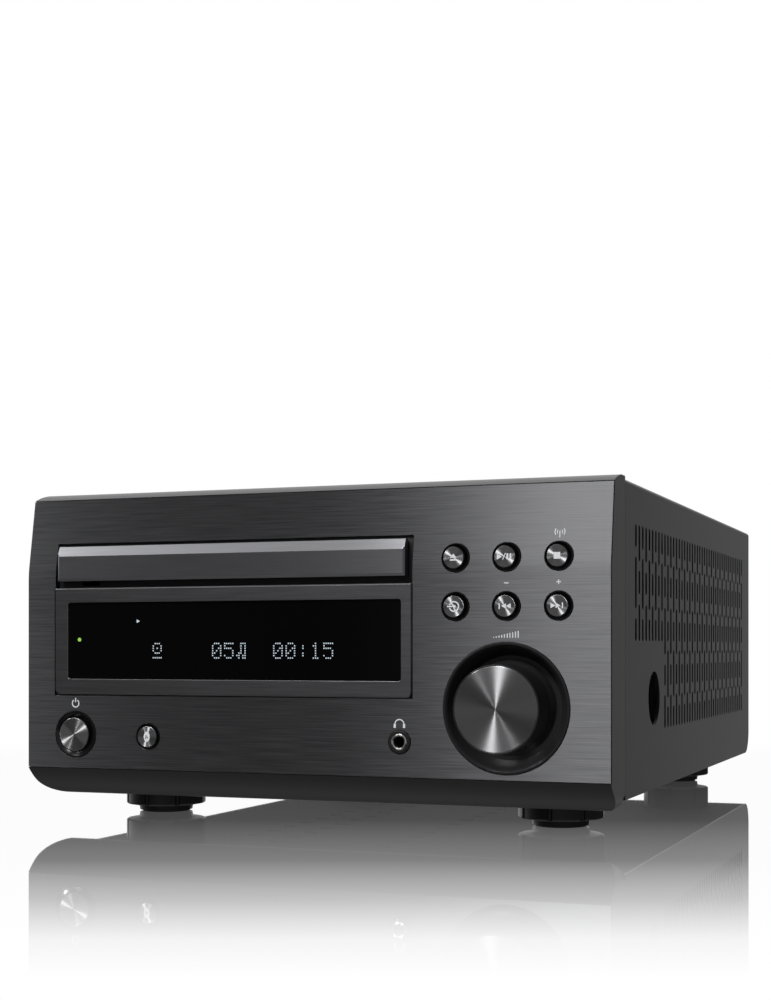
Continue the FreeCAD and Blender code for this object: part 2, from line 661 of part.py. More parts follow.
def loop_prism(grow, z):
    """The space inside a loop round both pulleys, as far out as grow."""
    big = BELT_INNER["gear"] + grow
    small = BELT_INNER["motor"] + grow
    lean = math.asin((big - small) / (MOTOR_X - PINION_X))
    s, c = math.sin(lean), math.cos(lean)
    points = [at(PINION_X + big * s, PINION_DEPTH + big * c, z[0]),
              at(MOTOR_X + small * s, PINION_DEPTH + small * c, z[0]),
              at(MOTOR_X + small, PINION_DEPTH, z[0]),
              at(MOTOR_X + small * s, PINION_DEPTH - small * c, z[0]),
              at(PINION_X + big * s, PINION_DEPTH - big * c, z[0]),
              at(PINION_X - big, PINION_DEPTH, z[0])]
    edges = [Part.LineSegment(points[0], points[1]).toShape(),
             Part.Arc(*points[1:4]).toShape(),
             Part.LineSegment(points[3], points[4]).toShape(),
             Part.Arc(points[4], points[5], points[0]).toShape()]
    return prism(edges, Vector(0, 0, z[1] - z[0]))


def drive_belt():
    return loop_prism(BELT_THICK, BELT_Z).cut(loop_prism(0, grown(BELT_Z, 1)))


def tray_door():
    """Long front of the tray, its upper edge cut back in one wide facet."""
    z0, z1 = DOOR[1]
    cut = DOOR_CHAMFER
    bar = side_prism([(DOOR_BACK, z0), (DOOR_BACK, z1), (DOOR_FACE + 1.5, z1), (DOOR_FACE, z1 - DOOR_FACET),
                      (DOOR_FACE, z0 + cut), (DOOR_FACE + cut / 2, z0)], DOOR[0])
    ends = [(DOOR[0][0], 1), (DOOR[0][1], -1)]
    tools = []
    for x, way in ends:
        corner = [at(x, DOOR_FACE - 0.1, z0 - 1), at(x + cut * way, DOOR_FACE - 0.1, z0 - 1),
                  at(x, DOOR_FACE + cut / 2, z0 - 1)]
        tools.append(outline_prism(corner, Vector(0, 0, z1 - z0 + 2)))
    return bar.cut(tools)


def rack():
    """Straight rack under the tray, its teeth facing the pinion."""
    pitch = math.pi * MODULE
    tip, root = RACK_X + ADDENDUM, RACK_X - DEDENDUM
    slope = math.tan(math.radians(20))
    half_tip = TOOTH_THICKNESS / 2 - ADDENDUM * slope
    half_root = TOOTH_THICKNESS / 2 + DEDENDUM * slope
    start = PINION_DEPTH - 2.5 * pitch
    count = round((TRAY_TRAVEL + 6 * pitch) / pitch)
    points = [at(root - RACK_BACK, start - pitch / 2, RACK_Z)]
    for n in range(count):
        d = start + n * pitch
        points += [at(root, d - half_root, RACK_Z), at(tip, d - half_tip, RACK_Z),
                   at(tip, d + half_tip, RACK_Z), at(root, d + half_root, RACK_Z)]
    points.append(at(root - RACK_BACK, start + (count - 0.5) * pitch, RACK_Z))
    return outline_prism(points, Vector(0, 0, TRAY_Z[0] + 0.5 - RACK_Z))


def disc_tray():
    """Sliding tray: two disc recesses, a slot open to the rear for the pickup, and a rack."""
    x = (LOADER_X - TRAY_HALF, LOADER_X + TRAY_HALF)
    plate = block(x, (DOOR_BACK, TRAY_END), TRAY_Z)
    rails = [block((edge, edge + 2.2), (DOOR_BACK, TRAY_END), (TRAY_RAIL_Z, TRAY_Z[0] + 0.5))
             for edge in (x[0], x[1] - 2.2)]
    over, under = TRAY_Z[1] + 1, TRAY_RAIL_Z - 1
    tools = [rod_z(LOADER_X, DISC_DEPTH, DISC_RADIUS, (DISC_FLOOR, over)),
             rod_z(LOADER_X, DISC_DEPTH, SMALL_DISC_RADIUS, (SMALL_DISC_FLOOR, over)),
             rod_z(LOADER_X, DISC_DEPTH, TRAY_SLOT, (under, over)),
             block((LOADER_X - TRAY_SLOT, LOADER_X + TRAY_SLOT), (DISC_DEPTH, TRAY_END + 1), (under, over))]
    return fuse([plate, rack()] + rails).cut(tools)


def loader_frame():
    """Moulded frame of the loader: floor, walls, tray guides, bearings and four legs."""
    x = (LOADER_X - LOADER_HALF, LOADER_X + LOADER_HALF)
    floor = block(x, LOADER_D, (LOADER_Z[0], LOADER_FLOOR))
    hatch = block(grown(TRAVERSE_X, 4), (48, 197), (60, 75))
    motor_hole = rod_z(MOTOR_X, PINION_DEPTH, 3.2, (60, 75))
    parts = [floor.cut([hatch, motor_hole])]
    for wall, way in ((x[0], 1), (x[1], -1)):
        parts.append(block(sorted((wall, wall + way * LOADER_WALL)), LOADER_D, (LOADER_FLOOR, LOADER_Z[1])))
        edge = LOADER_X - way * TRAY_HALF
        side = sorted((wall + way * LOADER_WALL, edge - way * GUIDE_GAP))
        lips = sorted((wall + way * LOADER_WALL, edge + way * 2))
        parts.append(block(side, LOADER_D, (82.2, 94.3)))
        parts.append(block(lips, LOADER_D, (82.2, TRAY_RAIL_Z - GUIDE_GAP)))
        parts.append(block(lips, LOADER_D, (TRAY_Z[1] + GUIDE_GAP, 94.3)))
    parts.append(block(x, (LOADER_D[1] - LOADER_WALL, LOADER_D[1]), (LOADER_FLOOR, LOADER_Z[1])))
    parts += [rod_z(leg_x, leg_d, 3.5, (FLOOR_Z, LOADER_Z[0] + 1))
              for leg_x in (x[0] + 4, x[1] - 4) for leg_d in (30, 198)]
    parts.append(rod_z(PINION_X, PINION_DEPTH, 2.05, (LOADER_FLOOR - 1, 85.2)))
    for edge, way in ((TRAVERSE_X[0], -1), (TRAVERSE_X[1], 1)):
        cheek_x = sorted((edge + way * 1.2, edge + way * 7.5))
        cheek = block(cheek_x, (PIVOT_D - 5, PIVOT_D + 5), (LOADER_Z[0], 82))
        parts.append(cheek.cut(rod_x(PIVOT_D, PIVOT_Z, 2.0 + RUNNING_GAP, (LOADER_X - 60, LOADER_X + 60))))
    return fuse(parts)


def clamp_bridge():
    """Steel strip over the tray that carries the clamp."""
    x = (LOADER_X - LOADER_HALF, LOADER_X + LOADER_HALF)
    strip = block(x, (DISC_DEPTH - 22, DISC_DEPTH + 22), (LOADER_Z[1], LOADER_Z[1] + 1.2))
    return strip.cut(rod_z(LOADER_X, DISC_DEPTH, 14.0, (90, 110)))


def clamp_puck():
    top = LOADER_Z[1] + 1.2
    return turned_z([(0, 93.1), (12.6, 93.1), (13.2, 93.7), (13.2, top), (16.5, top), (16.5, top + 1.6),
                     (0, top + 1.6)], LOADER_X, DISC_DEPTH)


def traverse_plate():
    """Hinged plate that lowers the hub and pickup away from the disc."""
    plate = block(TRAVERSE_X, TRAVERSE_D, TRAVERSE_Z)
    sled_window = block((LOADER_X - 18, LOADER_X + 18), (89, 160), (70, 90))
    motor_window = block(grown((SCREW_X, SCREW_X), 5), (162, 181), (70, 90))
    plate = plate.cut([sled_window, motor_window, rod_z(LOADER_X, DISC_DEPTH, 3.4, (70, 90))])
    parts = [plate]
    for rod_x_at in (LOADER_X - ROD_OFFSET, LOADER_X + ROD_OFFSET):
        parts += [block(grown((rod_x_at, rod_x_at), 3), (d, d + 2.5), (TRAVERSE_Z[1] - 0.5, ROD_Z + 2.4))
                  for d in (ROD_D[0] - 2.5, ROD_D[1])]
    for d in (ROD_D[0] - 2.5, ROD_D[1]):
        post = block(grown((SCREW_X, SCREW_X), 4.6), (d, d + 2), (TRAVERSE_Z[1] - 0.5, 84.6))
        parts.append(post.cut(rod_y(SCREW_X, ROD_Z, 1.0 + RUNNING_GAP, (80, 170))))
    parts += [rod_x(PIVOT_D, PIVOT_Z, 2.0, (TRAVERSE_X[0] - 7, TRAVERSE_X[0] + 1)),
              rod_x(PIVOT_D, PIVOT_Z, 2.0, (TRAVERSE_X[1] - 1, TRAVERSE_X[1] + 7))]
    return fuse(parts)


def guide_rods():
    rods = [rod_y(LOADER_X + side * ROD_OFFSET, ROD_Z, 1.5, ROD_D) for side in (-1, 1)]
    return Part.makeCompound(rods)


def disc_motors():
    """Spindle motor under the hub and the smaller motor that turns the sled's screw."""
    can = [(0, 66), (10.6, 66), (11, 66.4), (11, TRAVERSE_Z[0])]
    shaft = [(3.2, TRAVERSE_Z[0]), (3.2, 79.4), (1.0, 79.4), (1.0, 89.0), (0, 89.0)]
    spindle = turned_z(can + shaft, LOADER_X, DISC_DEPTH)
    sled = rod_y(SCREW_X, ROD_Z, 4.0, (ROD_D[1] + 2, 179))
    return Part.makeCompound([spindle, sled])


def turntable():
    """Spindle hub: a flat table for the disc and a centring cone."""
    low, top = HUB_Z
    bore = 1.0 + RUNNING_GAP
    boss = [(bore, 80), (4.0, 80), (4.0, low)]
    table = [(11.5, low + 0.6), (12, low + 1.2), (12, top)]
    cone = [(7.4, top), (7.3, top + 1.2), (6.2, top + 2.2), (0, top + 2.2)]
    return turned_z(boss + table + cone + [(0, 89.1), (bore, 89.1)], LOADER_X, DISC_DEPTH)


def optical_pickup():
    """Sled on two rods, with the lens in its round housing and an arm to the screw."""
    left, right = LOADER_X - ROD_OFFSET, LOADER_X + ROD_OFFSET
    body = block((left - 3.2, right + 3.2), SLED_D, (79.0 - 0.4, 84.0))
    body = body.cut([rod_y(x, ROD_Z, 1.5 + RUNNING_GAP, (80, 170)) for x in (left, right)])
    lens_d = DISC_DEPTH + 24
    housing = rod_z(LOADER_X, lens_d, 5.2, (83.5, 86.6))
    lens = rod_z(LOADER_X, lens_d, 2.1, (86, 87.6))
    arm = block((SCREW_X + 2.0, left - 2.5), (SLED_D[0] + 9, SLED_D[0] + 15), (ROD_Z - 1, ROD_Z + 1))
    return fuse([body, housing, lens, arm])


def lead_screw():
    """Grooved screw that drives the sled."""
    points = [(0, ROD_D[0] - 2), (1.0, ROD_D[0] - 2), (1.0, ROD_D[0] + 1)]
    d = ROD_D[0] + 1
    while d < ROD_D[1] - SCREW_LEAD - 1:
        points += [(1.6, d), (1.6, d + 1.2), (1.2, d + 1.8), (1.2, d + 2.4)]
        d += SCREW_LEAD
    points += [(1.0, d), (1.0, ROD_D[1] + 1.7), (0, ROD_D[1] + 1.7)]
    return turned_y(points, SCREW_X, ROD_Z)


# ---- power, boards and sockets --------------------------------------------------------

def transformer_core():
    """Laminated core with a window each side of its middle limb."""
    x, d, z = CORE
    centre = (d[0] + d[1]) / 2
    window_z = (z[0] + CORE_YOKE, z[1] - CORE_YOKE)
    front_window = block(grown(x, 1), (d[0] + CORE_LIMB, centre - CORE_CENTRE / 2), window_z)
    rear_window = block(grown(x, 1), (centre + CORE_CENTRE / 2, d[1] - CORE_LIMB), window_z)
    return block(x, d, z).cut([front_window, rear_window])


def transformer_coil():
    """Copper winding round the middle limb."""
    x, d, z = CORE
    centre = (d[0] + d[1]) / 2
    winding = block(grown(x, COIL_BULGE), (d[0] + CORE_LIMB + 0.2, d[1] - CORE_LIMB - 0.2),
                    (z[0] + CORE_YOKE + 0.2, z[1] - CORE_YOKE - 0.2))
    limb_d = grown((centre - CORE_CENTRE / 2, centre + CORE_CENTRE / 2), 0.2)
    limb = block(grown(x, 0.2), limb_d, grown(z, 1))
    corners = [e for e in winding.Edges if abs(e.Vertexes[0].Z - e.Vertexes[-1].Z) > 1]
    return winding.makeFillet(4.0, corners).cut(limb)


def heat_sink():
    """Aluminium extrusion: an upright plate with a comb of fins."""
    plate = block((SINK_X[0], SINK_X[0] + 4), SINK_D, (FLOOR_Z, SINK_TOP))
    step = (SINK_D[1] - SINK_D[0] - 1.6) / (SINK_FINS - 1)
    starts = [SINK_D[0] + n * step for n in range(SINK_FINS)]
    fins = [block((SINK_X[0] + 3, SINK_X[1]), (d, d + 1.6), (FLOOR_Z, SINK_TOP)) for d in starts]
    return fuse([plate] + fins)


def amplifier_chips():
    chips = []
    for d in (182, 214):
        body = block((SINK_X[0] - 4.6, SINK_X[0]), (d, d + 20), (44, 60))
        legs = [block((SINK_X[0] - 2.6, SINK_X[0] - 2.0), (d + 1.5 + 2.4 * n, d + 2.3 + 2.4 * n), (34, 44))
                for n in range(8)]
        chips.append(fuse([body] + legs))
    return Part.makeCompound(chips)


def main_board():
    board = block(*MAIN_BOARD)
    return board.cut([rod_z(x, d, SCREW_RADIUS, (19, 23)) for x in (-79, 25) for d in (66, 262)])


def capacitors():
    """Two reservoir capacitors and a row of smaller ones."""
    top = MAIN_BOARD[2][1]
    large = [turned_z([(0, top), (12, top), (12, top + 34), (11.2, top + 35), (0, top + 35)], x, 228)
             for x in (-64, -36)]
    small = [turned_z([(0, top), (5, top), (5, top + 15.5), (4.6, top + 16), (0, top + 16)], x, d)
             for x in (-60, -20) for d in (90, 120, 150)]
    return Part.makeCompound(large + small)


def ribbon_cable():
    """Flat cable from the front board down to the main board, with a connector at each end."""
    x = (-50.0, -26.0)
    front_plug = block(grown(x, 1.5), (BOARD[1], BOARD[1] + 5), (31, 37))
    rear_plug = block(grown(x, 1.5), (68, 73), (MAIN_BOARD[2][1], MAIN_BOARD[2][1] + 6))
    run_z, drop_d, bend, thick = 34.0, 70.5, 4.0, 0.8
    flat = block(x, (BOARD[1] + 4, drop_d - bend), (run_z - thick / 2, run_z + thick / 2))
    turn = rod_x(drop_d - bend, run_z - bend, bend + thick / 2, x)
    turn = turn.cut(rod_x(drop_d - bend, run_z - bend, bend - thick / 2, grown(x, 1)))
    turn = turn.common(block(x, (drop_d - bend, drop_d + 2), (run_z - bend, run_z + 2)))
    drop = block(x, (drop_d - thick / 2, drop_d + thick / 2), (MAIN_BOARD[2][1] + 5, run_z - bend))
    return fuse([front_plug, flat, turn, drop, rear_plug])


def terminal_block():
    """Moulded block of the speaker terminals, and the four hollow posts that stand on it."""
    flange_rear = PANEL_REAR + 2
    body = block((2, 68), (PANEL_REAR - 9, PANEL_REAR), (31, 49))
    flange = block((0.5, 69.5), (PANEL_REAR, flange_rear), (29.5, 50.5))
    posts = []
    for x, z in POSTS.values():
        post = rod_y(x, z, POST_RADIUS, (flange_rear, POST_END))
        posts.append(post.cut(rod_y(x, z, POST_BORE, (flange_rear + 1, POST_END + 1))))
    return Part.makeCompound([fuse([body, flange])] + posts)


def terminal_cap(name):
    """Ribbed cap on a terminal post, open at its end for a plug."""
    x, z = POSTS[name]
    front, end = CABINET_DEPTH + 2.0, CABINET_DEPTH + TERMINAL_PROUD
    bore, shoulder = POST_RADIUS + RUNNING_GAP, POST_END + 0.5
    body = turned_y([(bore, front), (4.6, front), (4.6, front + 4.5), (5.8, front + 5), (5.8, end - 0.6),
                     (5.2, end), (POST_BORE, end), (POST_BORE, shoulder), (bore, shoulder)], x, z)
    grooves = []
    for n in range(12):
        angle = 2 * math.pi * n / 12
        groove_x, groove_z = x + 6.0 * math.cos(angle), z + 6.0 * math.sin(angle)
        grooves.append(rod_y(groove_x, groove_z, 0.6, (front + 6, end + 1)))
    return body.cut(grooves)


def line_sockets():
    """Four collared phono barrels on one body."""
    barrels = []
    for x, z in LINE_SOCKETS:
        barrel = fuse([rod_y(x, z, 4.15, (PANEL_REAR - SHEET, CABINET_DEPTH + 8)),
                       rod_y(x, z, 5.4, (PANEL_REAR, PANEL_REAR + 1.2))])
        barrels.append(barrel.cut(rod_y(x, z, 1.65, (PANEL_REAR, CABINET_DEPTH + 9))))
    return Part.makeCompound([block((-71, -35), (264, PANEL_REAR - SHEET), (29, 65))] + barrels)


def optical_sockets():
    """Two optical sockets with their shutters closed."""
    made = []
    for x, z in OPTICAL:
        body = block((x - 5, x + 5), (266, CABINET_DEPTH + 1.2), (z - 5.5, z + 5.5))
        well = block((x - 3.6, x + 3.6), (CABINET_DEPTH + 0.4, CABINET_DEPTH + 2), (z - 3.6, z + 3.6))
        made.append(body.cut(well))
    return Part.makeCompound(made)


def aerial_socket():
    """Threaded aerial socket."""
    x, z = AERIAL
    barrel = rod_y(x, z, 4.75, (PANEL_REAR - 8, CABINET_DEPTH + 10))
    nut = rod_y(x, z, 6.8, (PANEL_REAR, PANEL_REAR + 2.2))
    body = block((x - 8, x + 8), (262, PANEL_REAR - SHEET), (z - 8, z + 8))
    return fuse([barrel, nut, body]).cut(rod_y(x, z, 1.2, (CABINET_DEPTH - 4, CABINET_DEPTH + 11)))


def mains_inlet():
    """Two-pin mains inlet: flanged housing with a well for the plug."""
    x, z = INLET
    body = block((x - 11, x + 11), (258, PANEL_REAR), (z - 7.5, z + 7.5))
    flange = block((x - 12.5, x + 12.5), (PANEL_REAR, PANEL_REAR + 2), (z - 9, z + 9))
    lobes = [rod_y(x + side * 3.6, z, 4.2, (264, PANEL_REAR + 3)) for side in (-1, 1)]
    web = block((x - 3.6, x + 3.6), (264, PANEL_REAR + 3), (z - 4.2, z + 4.2))
    shell = fuse([body, flange]).cut(lobes + [web])
    pins = [rod_y(x + side * 4.0, z, 1.2, (263.5, 273)) for side in (-1, 1)]
    return fuse([shell] + pins)


NODES = {
    "front_bezel": front_bezel, "front_plate": front_plate, "display_frame": display_frame,
    "display_window": display_window, "display_tube": display_tube, "standby_led": standby_led,
    "button_collars": button_collars, "tact_switches": tact_switches, "front_board": front_board,
    "phones_socket": phones_socket, "knob_ring": knob_ring, "volume_knob": volume_knob, "knob_cap": knob_cap,
    "encoder_shaft": encoder_shaft, "encoder": encoder, "top_cover": top_cover, "chassis_pan": chassis_pan,
    "rear_panel": rear_panel, "feet": feet, "foot_pads": foot_pads, "case_screws": case_screws,
    "pulley_gear": pulley_gear, "motor_pulley": motor_pulley, "loading_motor": loading_motor,
    "drive_belt": drive_belt, "tray_door": tray_door, "disc_tray": disc_tray, "loader_frame": loader_frame,
    "clamp_bridge": clamp_bridge, "clamp_puck": clamp_puck, "traverse_plate": traverse_plate,
    "guide_rods": guide_rods, "disc_motors": disc_motors, "turntable": turntable,
    "optical_pickup": optical_pickup, "lead_screw": lead_screw, "transformer_core": transformer_core,
    "transformer_coil": transformer_coil, "heat_sink": heat_sink, "amplifier_chips": amplifier_chips,
    "main_board": main_board, "capacitors": capacitors, "ribbon_cable": ribbon_cable,
    "terminal_block": terminal_block, "line_sockets": line_sockets, "optical_sockets": optical_sockets,
    "aerial_socket": aerial_socket, "mains_inlet": mains_inlet,
}
for button_name in BUTTONS:
    NODES[button_name] = lambda name=button_name: button(name)
for post_name in POSTS:
    NODES[post_name] = lambda name=post_name: terminal_cap(name)

os.makedirs("parts", exist_ok=True)
for node, make in NODES.items():
    make().exportStep("parts/" + node + ".step")
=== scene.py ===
"""Looks of the compact stereo receiver: materials, prints, lamps, studio light and camera.

Outlines and signs on the front are (x, z) or (radius, depth) points in millimetres, and a depth
counts back from the front plane.  Other lengths are in millimetres where MM multiplies them, and
in metres elsewhere.
"""
import json
import math

import bmesh
import bpy
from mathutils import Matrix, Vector


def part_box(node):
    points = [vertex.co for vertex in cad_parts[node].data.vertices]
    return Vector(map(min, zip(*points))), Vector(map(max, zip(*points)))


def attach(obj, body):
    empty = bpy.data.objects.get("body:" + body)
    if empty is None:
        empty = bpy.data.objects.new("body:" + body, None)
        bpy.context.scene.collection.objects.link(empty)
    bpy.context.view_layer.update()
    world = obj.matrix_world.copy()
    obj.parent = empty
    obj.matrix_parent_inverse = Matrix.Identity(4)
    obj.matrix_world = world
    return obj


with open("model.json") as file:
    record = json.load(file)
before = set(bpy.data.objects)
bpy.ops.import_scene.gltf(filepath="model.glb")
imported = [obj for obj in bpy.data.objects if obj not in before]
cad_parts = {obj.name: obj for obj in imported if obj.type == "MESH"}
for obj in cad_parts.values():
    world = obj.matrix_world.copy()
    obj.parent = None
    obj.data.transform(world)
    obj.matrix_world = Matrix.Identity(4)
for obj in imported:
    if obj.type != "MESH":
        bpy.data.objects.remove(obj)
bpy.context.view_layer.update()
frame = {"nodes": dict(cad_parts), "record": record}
nodes = frame["nodes"]
scene = bpy.context.scene

MM = 0.001
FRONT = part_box("front_plate")[0].y

# The plate's face: upright, then a bend, then a lean
LEAN = math.radians(9.2)
LEAN_Z = 86.8
LEAN_RADIUS = 30.0

# How far a print stands proud of its surface, and how far it is sunk in
PRINT_PROUD = 0.03
PRINT_SUNK = 0.01

# Own meshes
TURN_STEPS = 96
OWN_SHARP_ANGLE = 30


# ---- geometry helpers ------------------------------------------------------------------

def middle(node):
    """x and z of a CAD node's centre, in millimetres."""
    low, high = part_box(node)
    return (low.x + high.x) / 2 / MM, (low.z + high.z) / 2 / MM


def front_depth(z):
    """Depth of the plate's face at a height."""
    reach = LEAN_RADIUS * math.tan(LEAN / 2)
    start = LEAN_Z - reach
    if z <= start:
        return 0.0
    end = start + LEAN_RADIUS * math.sin(LEAN)
    if z < end:
        return LEAN_RADIUS - math.sqrt(LEAN_RADIUS ** 2 - (z - start) ** 2)
    return LEAN_RADIUS * (1 - math.cos(LEAN)) + (z - end) * math.tan(LEAN)


def node_depth(node):
    """Depth of a CAD node's foremost point."""
    return (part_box(node)[0].y - FRONT) / MM


def flat(depth):
    """A surface that is upright at one depth."""
    return lambda z: depth


def finish_mesh(name, bm, smooth=True):
    bmesh.ops.recalc_face_normals(bm, faces=bm.faces)
    mesh = bpy.data.meshes.new(name)
    bm.to_mesh(mesh)
    bm.free()
    for face in mesh.polygons:
        face.use_smooth = smooth
    if smooth:
        mesh.set_sharp_from_angle(angle=math.radians(OWN_SHARP_ANGLE))
    piece = bpy.data.objects.new(name, mesh)
    scene.collection.objects.link(piece)
    return piece


def add_prism(bm, outline, surface):
    """A thin closed prism on a surface: outline is (x, z) points, surface gives a depth."""
    front = [bm.verts.new((x * MM, FRONT + (surface(z) - PRINT_PROUD) * MM, z * MM)) for x, z in outline]
    back = [bm.verts.new((x * MM, FRONT + (surface(z) + PRINT_SUNK) * MM, z * MM)) for x, z in outline]
    bm.faces.new(front)
    bm.faces.new(list(reversed(back)))
    for n in range(len(outline)):
        m = (n + 1) % len(outline)
        bm.faces.new((front[n], back[n], back[m], front[m]))


def printed(name, outlines, body, look, surface=front_depth):
    """A sign made of thin prisms, which rides on a body."""
    bm = bmesh.new()
    for outline in outlines:
        add_prism(bm, outline, surface)
    piece = finish_mesh(name, bm, smooth=False)
    piece.data.materials.append(look)
    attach(piece, body)


def point_ring(bm, radius, depth):
    """Points round a front-to-back axis; on the axis itself just one."""
    y = FRONT + depth * MM
    if radius == 0:
        return [bm.verts.new((0, y, 0))]
    angles = (2 * math.pi * n / TURN_STEPS for n in range(TURN_STEPS))
    return [bm.verts.new((radius * MM * math.cos(a), y, radius * MM * math.sin(a))) for a in angles]


def bridge(bm, first, second):
    """Faces between two point rings: triangles where one of them is a single point."""
    for n in range(TURN_STEPS):
        m = (n + 1) % TURN_STEPS
        corners = [first[n % len(first)], first[m % len(first)],
                   second[m % len(second)], second[n % len(second)]]
        kept = list(dict.fromkeys(corners))
        if len(kept) > 2:
            bm.faces.new(kept)


def turned(name, profile, x, z):
    """A (radius, depth) outline turned round its own origin; one that is off the axis is closed."""
    bm = bmesh.new()
    rings = [point_ring(bm, radius, depth) for radius, depth in profile]
    if profile[0][0] > 0:
        rings.append(rings[0])
    for first, second in zip(rings, rings[1:]):
        bridge(bm, first, second)
    piece = finish_mesh(name, bm)
    piece.location = (x * MM, 0, z * MM)
    return piece


# ---- strokes that signs are made of ----------------------------------------------------

def arc(x, z, radius, start, end, steps):
    """Points of an arc, angles in degrees counted from +X towards +Z."""
    angles = [math.radians(start + (end - start) * n / steps) for n in range(steps + 1)]
    return [(x + radius * math.cos(a), z + radius * math.sin(a)) for a in angles]


def band(x, z, outer, inner, start, end, steps):
    """An arc-shaped stroke as a row of small quadrilaterals."""
    out = arc(x, z, outer, start, end, steps)
    ins = arc(x, z, inner, start, end, steps)
    return [[out[n], out[n + 1], ins[n + 1], ins[n]] for n in range(steps)]


def bar(x0, z0, x1, z1, width):
    """A straight stroke as one quadrilateral."""
    run = math.hypot(x1 - x0, z1 - z0)
    nx = (z0 - z1) / run * width / 2
    nz = (x1 - x0) / run * width / 2
    return [(x0 + nx, z0 + nz), (x0 - nx, z0 - nz), (x1 - nx, z1 - nz), (x1 + nx, z1 + nz)]


def arrow(x, rise):
    """A triangle that points to the right."""
    return [(x - 0.85, -rise), (x + 0.765, 0.0), (x - 0.85, rise)]


def moved(outlines, x, z, scale=1.0):
    return [[(x + px * scale, z + pz * scale) for px, pz in outline] for outline in outlines]


# ---- materials -------------------------------------------------------------------------

NOISE_LOW = 0.3
NOISE_HIGH = 0.7
NOISE_DETAIL = 4.0
NOISE_ROUGHNESS = 0.6
ROUGHNESS_SWING = 0.15
LEAST_ROUGHNESS = 0.02


def add_noise(tree, grain):
    """Noise stretched by a frequency along each axis; returns its output."""
    place = tree.nodes.new("ShaderNodeTexCoord")
    stretch = tree.nodes.new("ShaderNodeMapping")
    stretch.inputs["Scale"].default_value = grain
    noise = tree.nodes.new("ShaderNodeTexNoise")
    noise.inputs["Scale"].default_value = 1.0
    noise.inputs["Detail"].default_value = NOISE_DETAIL
    noise.inputs["Roughness"].default_value = NOISE_ROUGHNESS
    tree.links.new(place.outputs["Object"], stretch.inputs["Vector"])
    tree.links.new(stretch.outputs["Vector"], noise.inputs["Vector"])
    return noise.outputs["Fac"]


def vary_color(tree, shader, noise, color, speckle):
    tone = tree.nodes.new("ShaderNodeValToRGB")
    dark, light = tone.color_ramp.elements
    dark.position = NOISE_LOW
    light.position = NOISE_HIGH
    dark.color = [c * (1 - speckle) for c in color] + [1]
    light.color = [min(1, c * (1 + speckle)) for c in color] + [1]
    tree.links.new(noise, tone.inputs["Fac"])
    tree.links.new(tone.outputs["Color"], shader.inputs["Base Color"])


def vary_roughness(tree, shader, noise, roughness, speckle):
    span = tree.nodes.new("ShaderNodeMapRange")
    swing = speckle * ROUGHNESS_SWING
    span.inputs["From Min"].default_value = NOISE_LOW
    span.inputs["From Max"].default_value = NOISE_HIGH
    span.inputs["To Min"].default_value = max(LEAST_ROUGHNESS, roughness - swing)
    span.inputs["To Max"].default_value = min(1.0, roughness + swing)
    tree.links.new(noise, span.inputs["Value"])
    tree.links.new(span.outputs["Result"], shader.inputs["Roughness"])


def add_relief(tree, shader, noise, lift):
    bump = tree.nodes.new("ShaderNodeBump")
    bump.inputs["Strength"].default_value = 1.0
    bump.inputs["Distance"].default_value = lift
    tree.links.new(noise, bump.inputs["Height"])
    tree.links.new(bump.outputs["Normal"], shader.inputs["Normal"])


def add_tangent(tree, shader, grain_runs):
    """Stretch highlights across the brushing: round a disc's own centre, or across lines along X."""
    if grain_runs == "round":
        direction = tree.nodes.new("ShaderNodeTangent")
        direction.direction_type = "RADIAL"
        direction.axis = "Y"
        tree.links.new(direction.outputs["Tangent"], shader.inputs["Tangent"])
        return
    facing = tree.nodes.new("ShaderNodeNewGeometry")
    across = tree.nodes.new("ShaderNodeVectorMath")
    across.operation = "CROSS_PRODUCT"
    across.inputs[1].default_value = (1, 0, 0)
    tree.links.new(facing.outputs["Normal"], across.inputs[0])
    tree.links.new(across.outputs["Vector"], shader.inputs["Tangent"])


def material(name, color, roughness, metallic=0.0, grain=(900, 900, 900), speckle=0.0, lift=0.0,
             grain_runs=None, **constants):
    """Principled surface whose colour, roughness and relief vary with a stretched noise.

    grain is the noise's frequency along X, Y and Z; speckle is how much colour and roughness vary;
    lift is the relief's height in metres; grain_runs is "round" or "along" for brushed metal."""
    made = bpy.data.materials.new(name)
    made.use_nodes = True
    tree = made.node_tree
    shader = tree.nodes["Principled BSDF"]
    shader.inputs["Metallic"].default_value = metallic
    for socket, value in constants.items():
        shader.inputs[socket.replace("_", " ")].default_value = value
    noise = add_noise(tree, grain)
    vary_color(tree, shader, noise, color, speckle)
    vary_roughness(tree, shader, noise, roughness, speckle)
    if lift:
        add_relief(tree, shader, noise, lift)
    if grain_runs:
        add_tangent(tree, shader, grain_runs)
    return made


def glowing(name, color, strength):
    """Print or lamp that gives a little light of its own; on a print, which is no lamp, the glow is painted
    brightness.
    """
    made = material(name, color, 0.4, speckle=0.1)
    shader = made.node_tree.nodes["Principled BSDF"]
    shader.inputs["Emission Color"].default_value = (*color, 1)
    shader.inputs["Emission Strength"].default_value = strength
    return made


def spun(name, color, turn=0.0):
    """Turned metal face: highlights are rays, turned by a part of a full circle."""
    return material(name, color, 0.44, 1.0, speckle=0.04, grain_runs="round", Anisotropic=1.0,
                    Anisotropic_Rotation=0.25 + turn)


